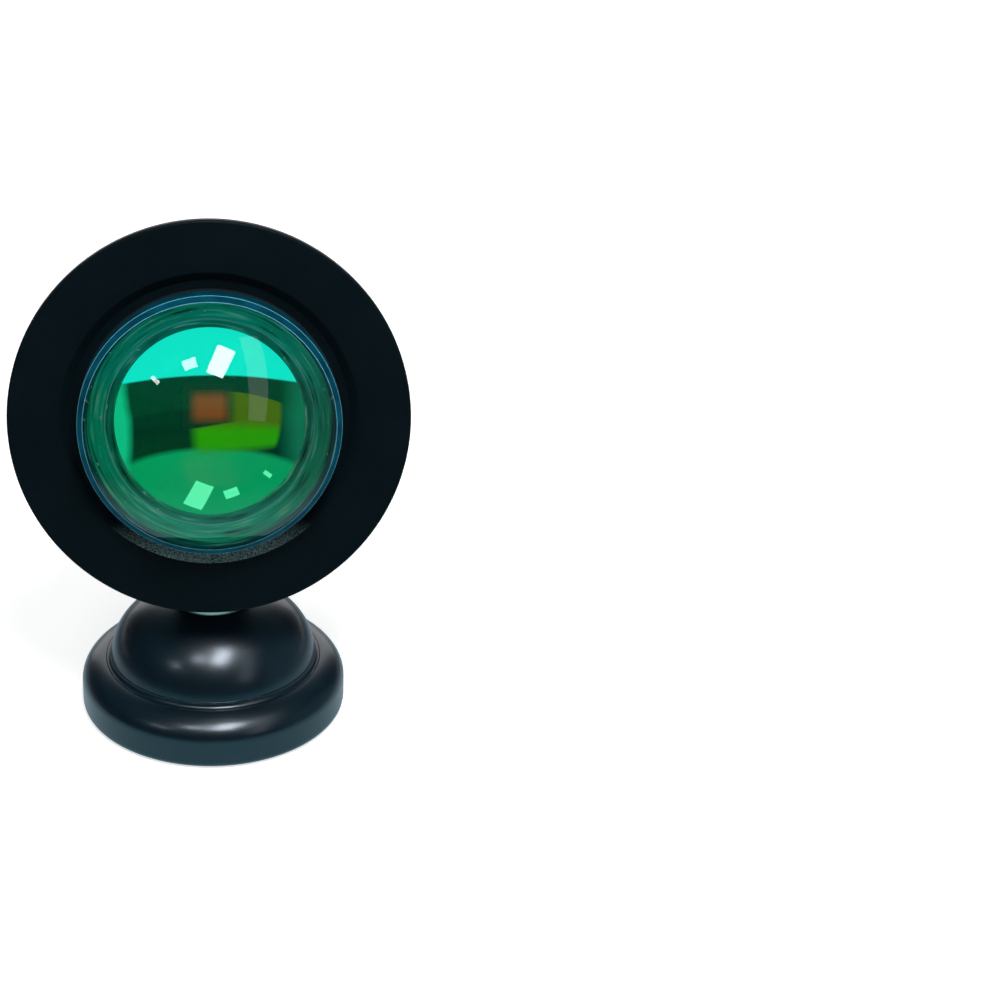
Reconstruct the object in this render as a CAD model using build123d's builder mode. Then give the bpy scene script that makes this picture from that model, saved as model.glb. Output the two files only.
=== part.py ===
from build123d import *
import math
import os

os.makedirs("parts", exist_ok=True)

# A tilting projection lamp: a lens in a round face plate, a tapered shell behind it with the
# light engine, a fork hinge, and a weighted dome base on which the fork turns.
# Frame: origin under the middle of the base, +Z up, and the lamp shines towards -Y.

# Fits
running_clearance = 0.06
face_clearance = 0.1
hole_clearance = 0.15
seat_clearance = 0.3

# Base
base_diameter = 62.6
base_lift = 0.2
base_rim_round = 1.8
base_wall_height = 6.6
base_skin = 2.5
skirt_wall = 4.2
shoulder_width = 10.5
shoulder_height = 6.6
shelf_width = 6.9
dome_height = 17.26
dome_foot_fillet = 0.6
swivel_seat_diameter = 20.4
pad_thickness = 1.2
pad_margin = 3.0
plate_thickness = 1.5
plate_margin = 2.6
plate_screw_count = 3
plate_boss_diameter = 5.0
plate_boss_inset = 1.3
ballast_gap = 2.0
ballast_height = 7.0
ballast_screw_circle = 30.0

# Power inlet in the back of the base, and its board
inlet_width = 8.94
inlet_height = 3.26
inlet_length = 7.2
inlet_wall = 0.35
inlet_setback = 0.9
inlet_rise = 2.1
tongue_width = 6.6
tongue_thickness = 0.7
tongue_length = 5.0
board_width = 14.0
board_depth = 12.0
board_thickness = 1.0
board_overlap = 2.6
board_post_diameter = 3.0
board_post_inset = 2.4
ballast_notch_margin = 1.2
chip_size = 5.0
chip_height = 1.5

# Swivel between base and neck
friction_washer_diameter = 18.8
friction_washer_thickness = 0.4
stem_diameter = 8.0
stem_bore = 4.8
stem_tail = 1.0
bush_wall = 1.5
bush_flange_diameter = 16.0
bush_flange_thickness = 1.0
spring_washer_diameter = 12.4
spring_washer_thickness = 0.7
swivel_nut_width = 13.0
swivel_nut_height = 3.5

# Neck and tilt hinge
neck_flange_diameter = 19.2
neck_flange_edge = 0.8
neck_flare_height = 1.67
neck_diameter = 15.4
ear_radius = 5.2
ear_thickness = 2.5
ear_root = 1.0
lug_thickness = 5.0
lug_radius = 4.9
lug_gap = 0.6
tilt_washer_diameter = 9.2
tilt_washer_thickness = 0.5
bolt_diameter = 3.0
bolt_head_diameter = 5.5
bolt_head_height = 2.0
bolt_socket_width = 2.5
bolt_tail = 0.6
tilt_nut_width = 5.5
tilt_nut_height = 2.4

# Head: its tilt at rest, and the face plate's place from the hinge along the beam
rest_tilt = 15.0
face_reach = 20.0

# Face plate and lens
lens_diameter = 60.0
lens_edge = 6.2
lens_chamfer = 1.3
lens_front_radius = 36.0
lens_back_radius = 50.0
lens_stand = 0.3
gasket_width = 3.5
countersink_margin = 4.0
countersink_depth = 2.0
face_screw_inset = 2.2
flange_margin = 2.8
face_overhang = 7.0
face_thickness = 3.0
face_edge_round = 0.6
hub_wall = 3.0
hub_depth = 2.0
filter_gap = 0.15
filter_thickness = 0.3
retainer_flange = 1.2
retainer_wall = 2.2
retainer_margin = 1.9

# Light engine
reflector_depth = 8.0
reflector_mouth = 41.6
throat_clearance = 0.4
reflector_wall = 1.6
reflector_flange = 1.2
led_board_diameter = 33.0
led_board_thickness = 1.6
led_screw_inset = 2.5
led_width = 8.0
led_height = 7.0
led_thickness = 0.8
phosphor_margin = 1.0
phosphor_thickness = 0.3
sink_base = 4.0
fin_count = 7
fin_pitch = 6.0
fin_thickness = 1.6
fin_gap = 1.6

# Rear shell
shell_back_diameter = 56.0
shell_back_face = 42.0
shell_taper_length = 30.8
shell_length = 45.0
shell_wall = 2.2
shell_flange_thickness = 2.2
shell_flange_fillet = 0.8
ledge_height = 3.3
ledge_thickness = 2.0
face_screw_count = 4
vent_count = 12
vent_circle = 30.0
vent_length = 6.5
vent_width = 2.2

# Push switch in the back of the head
button_diameter = 11.6
button_proud = 2.0
button_travel = 1.2
button_flange_width = 1.4
button_flange_thickness = 1.0
button_skin = 1.2
button_edge_round = 0.6
switch_width = 8.0
switch_height = 3.4
plunger_diameter = 3.4
plunger_engagement = 1.6
switch_board_diameter = 30.0
switch_board_thickness = 1.6
switch_post_diameter = 4.4
switch_screw_circle = 20.0
switch_screw_count = 3

# Tilt lug under the rear shell
lug_pad_rise = 0.3
lug_pad_depth = 3.4
lug_reach = 6.4
lug_foot_width = 11.0
lug_foot_length = 19.0
lug_foot_thickness = 2.0
lug_screw_spacing = 14.4

# Small screws
screw_diameter = 2.0
screw_head_diameter = 3.8
screw_head_height = 1.4
screw_head_chamfer = 0.3
screw_socket_width = 1.5
screw_socket_depth = 0.8
screw_bite = 2.0
screw_hole_radius = screw_diameter / 2 + hole_clearance


def shoulder_rise(inset):
    # Height of the elliptical shoulder above the straight wall, at a distance in from the rim.
    return shoulder_height * math.sqrt(1 - (1 - inset / shoulder_width)**2)


# Heights in the base
plate_top = pad_thickness + plate_thickness
wall_top = base_lift + base_wall_height
dome_foot = wall_top + shoulder_rise(shelf_width)
skirt_top = wall_top + shoulder_rise(skirt_wall) - base_skin
base_radius = base_diameter / 2
dome_radius = base_radius - shelf_width
shoulder_angle = math.degrees(math.acos(1 - shelf_width / shoulder_width))
seat_radius = swivel_seat_diameter / 2
seat_angle = math.degrees(math.acos(seat_radius / dome_radius))
swivel_seat = dome_foot + dome_height * math.sin(math.radians(seat_angle))
seat_underside = swivel_seat - base_skin
plate_radius = base_radius - plate_margin
skirt_radius = base_radius - skirt_wall
plate_screw_radius = skirt_radius - plate_boss_inset
ballast_radius = plate_screw_radius - plate_boss_diameter / 2 - ballast_gap
cavity_radius = dome_radius - base_skin
cavity_height = dome_height - base_skin
cavity_angle = math.degrees(math.asin((seat_underside - dome_foot) / cavity_height))

# Heights in the swivel and neck
stem_radius = stem_diameter / 2
bush_radius = stem_radius + running_clearance + bush_wall
neck_bottom = swivel_seat + friction_washer_thickness + face_clearance
flange_edge = neck_bottom + neck_flange_edge
neck_top = flange_edge + neck_flare_height
hinge_height = neck_top + lug_gap + lug_radius
spring_washer_top = seat_underside - bush_flange_thickness - face_clearance
swivel_nut_top = spring_washer_top - spring_washer_thickness
stem_end = swivel_nut_top - swivel_nut_height - stem_tail
washer_inner = lug_thickness / 2 + running_clearance
ear_inner = washer_inner + tilt_washer_thickness
ear_outer = ear_inner + ear_thickness

# Levels in the head, along the beam from the front of the face plate
face_back = -face_thickness
hub_back = face_back - hub_depth
lens_shoulder = lens_stand + lens_edge
lens_dome_foot = lens_shoulder + lens_chamfer
lens_radius = lens_diameter / 2
lens_front_reach = lens_radius - lens_chamfer
lens_front_sag = lens_front_radius - math.sqrt(lens_front_radius**2 - lens_front_reach**2)
aperture_radius = lens_radius - gasket_width
lens_back_reach = aperture_radius - seat_clearance
lens_back_sag = lens_back_radius - math.sqrt(lens_back_radius**2 - lens_back_reach**2)
lens_back_centre = lens_stand - lens_back_sag + lens_back_radius
filter_front_radius = lens_back_radius + filter_gap
filter_back_radius = filter_front_radius + filter_thickness
retainer_back = hub_back - retainer_flange
reflector_back = retainer_back - reflector_depth
led_board_back = reflector_back - led_board_thickness
sink_back = led_board_back - sink_base
flange_back = face_back - shell_flange_thickness
taper_end = flange_back - shell_taper_length
shell_back = face_back - shell_length
inner_back = shell_back + shell_wall
button_flange_back = inner_back + face_clearance
button_flange_front = button_flange_back + button_flange_thickness
switch_top = button_flange_front + button_travel + seat_clearance
switch_seat = switch_top + switch_height
plunger_front = switch_top + plunger_engagement
fin_tip = switch_seat + switch_board_thickness + screw_head_height + fin_gap

# Radii in the head, outwards from the lens
hub_radius = aperture_radius + hub_wall
engine_radius = hub_radius - seat_clearance
shell_front_radius = hub_radius + seat_clearance + shell_wall
countersink_radius = lens_radius + countersink_margin
face_screw_radius = countersink_radius + face_screw_inset
shell_flange_radius = face_screw_radius + flange_margin
face_radius = shell_flange_radius + face_overhang
retainer_radius = aperture_radius - seat_clearance
filter_radius = retainer_radius - seat_clearance
throat_radius = math.hypot(led_width, led_height) / 2 + throat_clearance
led_screw_radius = led_board_diameter / 2 - led_screw_inset
button_radius = button_diameter / 2
button_flange_radius = button_radius + button_flange_width

# The head's own frame, tipped back to the tilt at rest
tilt = math.radians(rest_tilt)
beam = Vector(0, -math.cos(tilt), math.sin(tilt))
rise = Vector(0, math.sin(tilt), math.cos(tilt))
hinge = Vector(0, 0, hinge_height)


def shell_radius(level):
    # Outer radius of the shell's straight taper at a level along the beam.
    share = (flange_back - level) / shell_taper_length
    return shell_front_radius + (shell_back_diameter / 2 - shell_front_radius) * share


def cup_radius(level):
    # Inner radius of the parabolic reflector: the square of the radius grows evenly with depth.
    share = (level - reflector_back) / reflector_depth
    return math.sqrt(throat_radius**2 + ((reflector_mouth / 2)**2 - throat_radius**2) * share)


def bowl_level(bowl_radius, radius):
    # Level of a sphere that shares its centre with the back of the lens.
    return lens_back_centre - math.sqrt(bowl_radius**2 - radius**2)


pad_level = shell_radius(lug_foot_length / 2 - face_reach) + lug_pad_rise
face_rise = pad_level + lug_foot_thickness + lug_reach
face_centre = hinge + beam * face_reach + rise * face_rise
head = Plane(origin=face_centre, x_dir=(1, 0, 0), z_dir=beam)
head_profile = Plane(origin=face_centre, x_dir=rise, z_dir=(1, 0, 0))
head_axis = Axis(face_centre, beam)
sink_radius = shell_radius(sink_back) - shell_wall - seat_clearance
lug_seat = Plane(origin=hinge + rise * (face_rise - pad_level), x_dir=(1, 0, 0), z_dir=rise * -1)
lug_side = Plane(origin=hinge, x_dir=beam, z_dir=(-1, 0, 0))
lug_screws_at = [(0, lug_screw_spacing / 2), (0, -lug_screw_spacing / 2)]
led_screws_at = [(led_screw_radius, 0), (-led_screw_radius, 0)]
ballast_screws_at = [(ballast_screw_circle / 2, 0), (-ballast_screw_circle / 2, 0)]


def on_circle(radius, count, first_angle):
    # Evenly spaced points on a circle, as sketch coordinates.
    angles = [math.radians(first_angle + 360 / count * i) for i in range(count)]
    return [(radius * math.cos(a), radius * math.sin(a)) for a in angles]


face_screws_at = on_circle(face_screw_radius, face_screw_count, 45)
switch_screws_at = on_circle(switch_screw_circle / 2, switch_screw_count, 90)
plate_screws_at = on_circle(plate_screw_radius, plate_screw_count, 30)


def finish(piece, label):
    piece.part.label = label
    export_step(piece.part, f"parts/{label}.step")


def cap_screws(label, seat, places, length):
    # Socket cap screws: heads stand on the seat plane, shanks run the other way.
    with BuildPart() as group:
        with BuildSketch(seat):
            with Locations(*places):
                Circle(screw_head_diameter / 2)
        extrude(amount=screw_head_height)
        chamfer(group.edges().group_by(Axis(seat.origin, seat.z_dir))[-1], length=screw_head_chamfer)
        with BuildSketch(seat.offset(screw_head_height)):
            with Locations(*places):
                RegularPolygon(screw_socket_width / 2, 6, major_radius=False)
        extrude(amount=-screw_socket_depth, mode=Mode.SUBTRACT)
        with BuildSketch(seat):
            with Locations(*places):
                Circle(screw_diameter / 2)
        extrude(amount=-length)
    finish(group, label)


def flush_screws(label, seat, places, length):
    # Countersunk screws whose flat heads lie in the seat plane.
    head_depth = (screw_head_diameter - screw_diameter) / 2
    with BuildPart() as group:
        with BuildSketch(seat):
            with Locations(*places):
                Circle(screw_head_diameter / 2)
        extrude(amount=-head_depth, taper=45)
        with BuildSketch(seat):
            with Locations(*places):
                Circle(screw_diameter / 2)
        extrude(amount=-length)
        with BuildSketch(seat):
            with Locations(*places):
                RegularPolygon(screw_socket_width / 2, 6, major_radius=False)
        extrude(amount=-screw_socket_depth, mode=Mode.SUBTRACT)
    finish(group, label)


# Base shell: round rim, straight wall, broad shoulder and dome, hollow from below
with BuildPart() as base_shell:
    with BuildSketch(Plane.XZ) as base_section:
        with BuildLine():
            rim = Polyline((plate_radius + seat_clearance, base_lift), (base_radius, base_lift),
                           (base_radius, wall_top))
            EllipticalCenterArc((base_radius - shoulder_width, wall_top), shoulder_width, shoulder_height,
                                arc_size=shoulder_angle)
            dome = EllipticalCenterArc((0, dome_foot), dome_radius, dome_height, arc_size=seat_angle)
            top = Polyline(dome @ 1, (bush_radius + hole_clearance, swivel_seat),
                           (bush_radius + hole_clearance, seat_underside),
                           (cavity_radius * math.cos(math.radians(cavity_angle)), seat_underside))
            vault = EllipticalCenterArc((0, dome_foot), cavity_radius, cavity_height, arc_size=cavity_angle)
            Polyline(vault @ 0, (cavity_radius, skirt_top), (skirt_radius, skirt_top), (skirt_radius, plate_top),
                     (plate_radius + seat_clearance, plate_top), rim @ 0)
        make_face()
        fillet(base_section.vertices().sort_by_distance((base_radius, base_lift))[0], radius=base_rim_round)
    revolve(axis=Axis.Z)
    fillet(base_shell.edges().sort_by_distance((0, dome_radius, dome_foot))[0], radius=dome_foot_fillet)
    with BuildSketch(Plane.XY.offset(plate_top)):
        with Locations(*plate_screws_at):
            Circle(plate_boss_diameter / 2)
    extrude(amount=skirt_top - plate_top)
    with BuildSketch(Plane.XY.offset(plate_top)):
        with Locations(*plate_screws_at):
            Circle(screw_hole_radius)
    extrude(amount=screw_bite * 2, mode=Mode.SUBTRACT)
    inlet_level = plate_top + inlet_rise
    with BuildSketch(Plane(origin=(0, cavity_radius, inlet_level), x_dir=(1, 0, 0), z_dir=(0, 1, 0))):
        SlotOverall(inlet_width + 2 * hole_clearance, inlet_height + 2 * hole_clearance)
    extrude(amount=base_radius, mode=Mode.SUBTRACT)
finish(base_shell, "base_shell")

# Base plate under the shell, with posts for the inlet board
board_front = base_radius - inlet_setback - inlet_length + board_overlap
board_back = board_front - board_depth
board_bottom = inlet_level - board_thickness / 2
board_post_x = board_width / 2 - board_post_inset
board_post_y = board_back + board_post_inset
with BuildPart() as base_plate:
    with BuildSketch(Plane.XY.offset(pad_thickness)):
        Circle(plate_radius)
    extrude(amount=plate_thickness)
    with BuildSketch(Plane.XY.offset(plate_top)):
        with Locations((board_post_x, board_post_y), (-board_post_x, board_post_y)):
            Circle(board_post_diameter / 2)
    extrude(amount=board_bottom - plate_top)
    with Locations(Plane(origin=(0, 0, pad_thickness), x_dir=(1, 0, 0), z_dir=(0, 0, -1))):
        with Locations(*[(x, -y) for x, y in plate_screws_at + ballast_screws_at]):
            CounterSinkHole(screw_hole_radius, screw_head_diameter / 2 + hole_clearance,
                            depth=plate_thickness, counter_sink_angle=90)
finish(base_plate, "base_plate")

# Rubber pad that the lamp stands on
with BuildPart() as foot_pad:
    with BuildSketch(Plane.XY):
        Circle(base_radius - pad_margin)
    extrude(amount=pad_thickness)
finish(foot_pad, "foot_pad")

# Steel weight, notched for the inlet board
with BuildPart() as ballast:
    with BuildSketch(Plane.XY.offset(plate_top)):
        Circle(ballast_radius)
        notch_width = board_width + 2 * ballast_notch_margin
        with Locations((0, board_back - ballast_notch_margin)):
            Rectangle(notch_width, 2 * ballast_radius, align=(Align.CENTER, Align.MIN), mode=Mode.SUBTRACT)
    extrude(amount=ballast_height)
    with BuildSketch(Plane.XY.offset(plate_top)):
        with Locations(*ballast_screws_at):
            Circle(screw_hole_radius)
    extrude(amount=screw_bite * 2, mode=Mode.SUBTRACT)
finish(ballast, "ballast")

under_plate = Plane(origin=(0, 0, pad_thickness), x_dir=(1, 0, 0), z_dir=(0, 0, -1))
flush_screws("plate_screws", under_plate, [(x, -y) for x, y in plate_screws_at], plate_thickness + screw_bite)
flush_screws("ballast_screws", under_plate, [(x, -y) for x, y in ballast_screws_at], plate_thickness + screw_bite)

# Power inlet: an oval metal can with a contact tongue
inlet_mouth = Plane(origin=(0, base_radius - inlet_setback, inlet_level), x_dir=(1, 0, 0), z_dir=(0, 1, 0))
with BuildPart() as power_inlet:
    with BuildSketch(inlet_mouth):
        SlotOverall(inlet_width, inlet_height)
    extrude(amount=-inlet_length)
    with BuildSketch(inlet_mouth):
        SlotOverall(inlet_width - 2 * inlet_wall, inlet_height - 2 * inlet_wall)
    extrude(amount=inlet_wall - inlet_length, mode=Mode.SUBTRACT)
    with BuildSketch(inlet_mouth.offset(-inlet_length + inlet_wall)):
        Rectangle(tongue_width, tongue_thickness)
    extrude(amount=tongue_length)
finish(power_inlet, "power_inlet")

# Driver board, cut out around the inlet
with BuildPart() as driver_board:
    with BuildSketch(Plane.XY.offset(board_bottom)):
        with Locations((0, board_back)):
            Rectangle(board_width, board_depth, align=(Align.CENTER, Align.MIN))
        with Locations((0, board_front)):
            Rectangle(inlet_width + 2 * seat_clearance, board_overlap + seat_clearance,
                      align=(Align.CENTER, Align.MAX), mode=Mode.SUBTRACT)
    extrude(amount=board_thickness)
    with BuildSketch(Plane.XY.offset(board_bottom + board_thickness)):
        with Locations((0, board_back + chip_size)):
            Rectangle(chip_size, chip_size)
    extrude(amount=chip_height)
finish(driver_board, "driver_board")

# Friction washer under the neck
with BuildPart() as friction_washer:
    with BuildSketch(Plane.XY.offset(swivel_seat)):
        Circle(friction_washer_diameter / 2)
        Circle(bush_radius, mode=Mode.SUBTRACT)
    extrude(amount=friction_washer_thickness)
finish(friction_washer, "friction_washer")

# Flanged bush in the top of the dome
with BuildPart() as swivel_bush:
    with BuildSketch(Plane.XZ):
        with BuildLine():
            Polyline((stem_radius + running_clearance, seat_underside - bush_flange_thickness),
                     (bush_flange_diameter / 2, seat_underside - bush_flange_thickness),
                     (bush_flange_diameter / 2, seat_underside), (bush_radius, seat_underside),
                     (bush_radius, swivel_seat), (stem_radius + running_clearance, swivel_seat), close=True)
        make_face()
    revolve(axis=Axis.Z)
finish(swivel_bush, "swivel_bush")

# Spring washer and nut that hold the neck's stem from inside the dome
with BuildPart() as spring_washer:
    with BuildSketch(Plane.XY.offset(swivel_nut_top)):
        Circle(spring_washer_diameter / 2)
        Circle(stem_radius + hole_clearance, mode=Mode.SUBTRACT)
    extrude(amount=spring_washer_thickness)
finish(spring_washer, "spring_washer")

with BuildPart() as swivel_nut:
    with BuildSketch(Plane.XY.offset(swivel_nut_top)):
        RegularPolygon(swivel_nut_width / 2, 6, major_radius=False)
        Circle(stem_radius + hole_clearance, mode=Mode.SUBTRACT)
    extrude(amount=-swivel_nut_height)
finish(swivel_nut, "swivel_nut")

# Neck: a hollow stem, a flared foot and two hinge ears in one casting
with BuildPart() as neck_fork:
    with BuildSketch(Plane.YZ.offset(ear_inner)):
        with Locations((0, hinge_height)):
            Circle(ear_radius)
            Rectangle(2 * ear_radius, hinge_height - neck_top + ear_root, align=(Align.CENTER, Align.MAX))
    extrude(amount=ear_thickness)
    mirror(about=Plane.YZ)
    with BuildSketch(Plane.XZ):
        with BuildLine():
            inside = Polyline((neck_diameter / 2, neck_top), (stem_bore / 2, neck_top), (stem_bore / 2, stem_end),
                              (stem_radius, stem_end), (stem_radius, neck_bottom),
                              (neck_flange_diameter / 2, neck_bottom), (neck_flange_diameter / 2, flange_edge))
            EllipticalCenterArc((neck_flange_diameter / 2, neck_top),
                                (neck_flange_diameter - neck_diameter) / 2, neck_top - flange_edge, 180)
        make_face()
    revolve(axis=Axis.Z)
    with BuildSketch(Plane.YZ):
        with Locations((0, hinge_height)):
            Circle(bolt_diameter / 2 + running_clearance)
    extrude(amount=neck_diameter, both=True, mode=Mode.SUBTRACT)
finish(neck_fork, "neck_fork")

# Hinge bolt, nut and friction washers
with BuildPart() as tilt_bolt:
    with BuildSketch(Plane.YZ.offset(ear_outer)):
        with Locations((0, hinge_height)):
            Circle(bolt_head_diameter / 2)
    extrude(amount=bolt_head_height)
    chamfer(tilt_bolt.edges().group_by(Axis.X)[-1], length=screw_head_chamfer)
    with BuildSketch(Plane.YZ.offset(ear_outer + bolt_head_height)):
        with Locations((0, hinge_height)):
            RegularPolygon(bolt_socket_width / 2, 6, major_radius=False)
    extrude(amount=-bolt_head_height / 2, mode=Mode.SUBTRACT)
    with BuildSketch(Plane.YZ.offset(ear_outer)):
        with Locations((0, hinge_height)):
            Circle(bolt_diameter / 2)
    extrude(amount=-(2 * ear_outer + tilt_nut_height + bolt_tail))
finish(tilt_bolt, "tilt_bolt")

with BuildPart() as tilt_nut:
    with BuildSketch(Plane.YZ.offset(-ear_outer)):
        with Locations((0, hinge_height)):
            RegularPolygon(tilt_nut_width / 2, 6, major_radius=False)
            Circle(bolt_diameter / 2 + hole_clearance, mode=Mode.SUBTRACT)
    extrude(amount=-tilt_nut_height)
finish(tilt_nut, "tilt_nut")

with BuildPart() as tilt_washers:
    with BuildSketch(Plane.YZ.offset(washer_inner)):
        with Locations((0, hinge_height)):
            Circle(tilt_washer_diameter / 2)
            Circle(bolt_diameter / 2 + hole_clearance, mode=Mode.SUBTRACT)
    extrude(amount=tilt_washer_thickness)
    mirror(about=Plane.YZ)
finish(tilt_washers, "tilt_washers")

# Tilt lug: the head's half of the hinge, with a foot screwed to the shell
with BuildPart() as tilt_lug:
    with BuildSketch(lug_side):
        Circle(lug_radius)
        with Locations((0, lug_reach)):
            Rectangle(2 * lug_radius, lug_reach, align=(Align.CENTER, Align.MAX))
    extrude(amount=lug_thickness / 2, both=True)
    with BuildSketch(lug_seat):
        RectangleRounded(lug_foot_width, lug_foot_length, lug_foot_thickness)
    extrude(amount=lug_foot_thickness)
    with BuildSketch(lug_side):
        Circle(bolt_diameter / 2 + running_clearance)
    extrude(amount=lug_thickness, both=True, mode=Mode.SUBTRACT)
    with BuildSketch(lug_seat):
        with Locations(*lug_screws_at):
            Circle(screw_hole_radius)
    extrude(amount=lug_foot_thickness, mode=Mode.SUBTRACT)
finish(tilt_lug, "tilt_lug")
cap_screws("lug_screws", lug_seat.offset(lug_foot_thickness), lug_screws_at, lug_foot_thickness + screw_bite)

# Rear shell: flange, tapered body with a rounded back, and a ledge inside for the heat sink
with BuildPart() as rear_shell:
    with BuildSketch(head_profile) as shell_section:
        with BuildLine():
            front = Polyline((shell_radius(flange_back) - shell_wall, face_back),
                             (shell_flange_radius, face_back), (shell_flange_radius, flange_back),
                             (shell_radius(flange_back), flange_back), (shell_radius(taper_end), taper_end))
            back_round = TangentArc(front @ 1, (shell_back_face / 2, shell_back), tangent=front % 1)
            back_wall = Polyline(back_round @ 1, (button_radius + hole_clearance, shell_back),
                                 (button_radius + hole_clearance, inner_back),
                                 (shell_back_face / 2 - shell_wall, inner_back))
            inner_taper = Line((shell_radius(taper_end) - shell_wall, taper_end),
                               (shell_radius(sink_back - ledge_thickness) - shell_wall, sink_back - ledge_thickness))
            TangentArc(inner_taper @ 0, back_wall @ 1, tangent=(inner_taper % 0) * -1)
            ledge_radius = shell_radius(sink_back) - shell_wall - ledge_height
            Polyline(inner_taper @ 1, (ledge_radius, sink_back - ledge_thickness), (ledge_radius, sink_back),
                     (shell_radius(sink_back) - shell_wall, sink_back),
                     (shell_radius(flange_back) - shell_wall, flange_back), front @ 0)
        make_face()
        fillet(shell_section.vertices().sort_by_distance((shell_radius(flange_back), flange_back))[0],
               radius=shell_flange_fillet)
    revolve(axis=head_axis)
    with BuildSketch(lug_seat):
        RectangleRounded(lug_foot_width, lug_foot_length, lug_foot_thickness)
    extrude(amount=-lug_pad_depth)
    with BuildSketch(lug_seat):
        with Locations(*lug_screws_at):
            Circle(screw_hole_radius)
    extrude(amount=-lug_pad_depth, mode=Mode.SUBTRACT)
    with BuildSketch(head.offset(flange_back)):
        with Locations(*face_screws_at):
            Circle(screw_hole_radius)
    extrude(amount=shell_flange_thickness, mode=Mode.SUBTRACT)
    with BuildSketch(head.offset(shell_back)):
        with PolarLocations(vent_circle / 2, vent_count, start_angle=180 / vent_count):
            SlotOverall(vent_length, vent_width)
    extrude(amount=shell_wall, mode=Mode.SUBTRACT)
    with BuildSketch(head.offset(inner_back)):
        with Locations(*switch_screws_at):
            Circle(switch_post_diameter / 2)
    extrude(amount=switch_seat - inner_back)
    with BuildSketch(head.offset(switch_seat)):
        with Locations(*switch_screws_at):
            Circle(screw_hole_radius)
    extrude(amount=-screw_bite * 2, mode=Mode.SUBTRACT)
finish(rear_shell, "rear_shell")

# Face plate: flat disc, countersunk around the lens, with a centring hub behind
with BuildPart() as face_plate:
    with BuildSketch(head_profile) as face_section:
        with BuildLine():
            Polyline((aperture_radius, hub_back), (hub_radius, hub_back), (hub_radius, face_back),
                     (face_radius, face_back), (face_radius, 0), (countersink_radius, 0),
                     (countersink_radius - countersink_depth, -countersink_depth),
                     (aperture_radius, -countersink_depth), close=True)
        make_face()
        fillet(face_section.vertices().group_by(Axis.X)[-1], radius=face_edge_round)
    revolve(axis=head_axis)
    with BuildSketch(head.offset(face_back)):
        with Locations(*face_screws_at):
            Circle(screw_hole_radius)
    extrude(amount=screw_bite + hole_clearance, mode=Mode.SUBTRACT)
finish(face_plate, "face_plate")
cap_screws("face_screws", Plane(origin=head.offset(flange_back).origin, x_dir=(1, 0, 0), z_dir=beam * -1),
           [(x, -y) for x, y in face_screws_at], shell_flange_thickness + screw_bite)

# Lens: ground edge and chamfer, a steep front and a shallower back that bulges through the aperture
with BuildPart() as lens:
    with BuildSketch(head_profile):
        with BuildLine():
            edge = Polyline((lens_back_reach, lens_stand), (lens_radius, lens_stand), (lens_radius, lens_shoulder),
                            (lens_front_reach, lens_dome_foot))
            front = RadiusArc(edge @ 1, (0, lens_dome_foot + lens_front_sag), -lens_front_radius)
            back = RadiusArc((0, lens_stand - lens_back_sag), edge @ 0, -lens_back_radius)
            Line(front @ 1, back @ 0)
        make_face()
    revolve(axis=head_axis)
finish(lens, "lens")

# Soft ring that the lens stands on
with BuildPart() as lens_gasket:
    with BuildSketch(head.offset(-countersink_depth)):
        Circle(lens_radius)
        Circle(aperture_radius, mode=Mode.SUBTRACT)
    extrude(amount=countersink_depth + lens_stand)
finish(lens_gasket, "lens_gasket")

# Colour filter: a thin dish that follows the back of the lens
with BuildPart() as dichroic_filter:
    with BuildSketch(head_profile):
        with BuildLine():
            filter_rim = Line((filter_radius, bowl_level(filter_back_radius, filter_radius)),
                              (filter_radius, bowl_level(filter_front_radius, filter_radius)))
            front = RadiusArc((0, bowl_level(filter_front_radius, 0)), filter_rim @ 1, -filter_front_radius)
            back = RadiusArc((0, bowl_level(filter_back_radius, 0)), filter_rim @ 0, -filter_back_radius)
            Line(back @ 0, front @ 0)
        make_face()
    revolve(axis=head_axis)
finish(dichroic_filter, "dichroic_filter")

# Stepped ring: its sleeve holds the filter's rim and its flange lies between hub and reflector
with BuildPart() as filter_retainer:
    with BuildSketch(head_profile):
        with BuildLine():
            sleeve_inner = retainer_radius - retainer_wall
            sleeve_front = bowl_level(filter_back_radius + filter_gap, sleeve_inner)
            flange_inner = reflector_mouth / 2 + retainer_margin
            Polyline((flange_inner, retainer_back), (engine_radius, retainer_back), (engine_radius, hub_back),
                     (retainer_radius, hub_back), (retainer_radius, sleeve_front), (sleeve_inner, sleeve_front),
                     (sleeve_inner, hub_back), (flange_inner, hub_back), close=True)
        make_face()
    revolve(axis=head_axis)
finish(filter_retainer, "filter_retainer")

# Reflector cup between the filter's ring and the LED board
with BuildPart() as reflector_cup:
    cup_middle = (retainer_back + reflector_back) / 2
    collar = retainer_back - reflector_flange
    collar_middle = (collar + reflector_back) / 2
    with BuildSketch(head_profile):
        with BuildLine():
            inside = ThreePointArc((cup_radius(reflector_back), reflector_back),
                                   (cup_radius(cup_middle), cup_middle), (cup_radius(retainer_back), retainer_back))
            outside = ThreePointArc((cup_radius(reflector_back) + reflector_wall, reflector_back),
                                    (cup_radius(collar_middle) + reflector_wall, collar_middle),
                                    (cup_radius(collar) + reflector_wall, collar))
            Polyline(inside @ 1, (engine_radius, retainer_back), (engine_radius, collar), outside @ 1)
            Line(outside @ 0, inside @ 0)
        make_face()
    revolve(axis=head_axis)
finish(reflector_cup, "reflector_cup")

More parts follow.
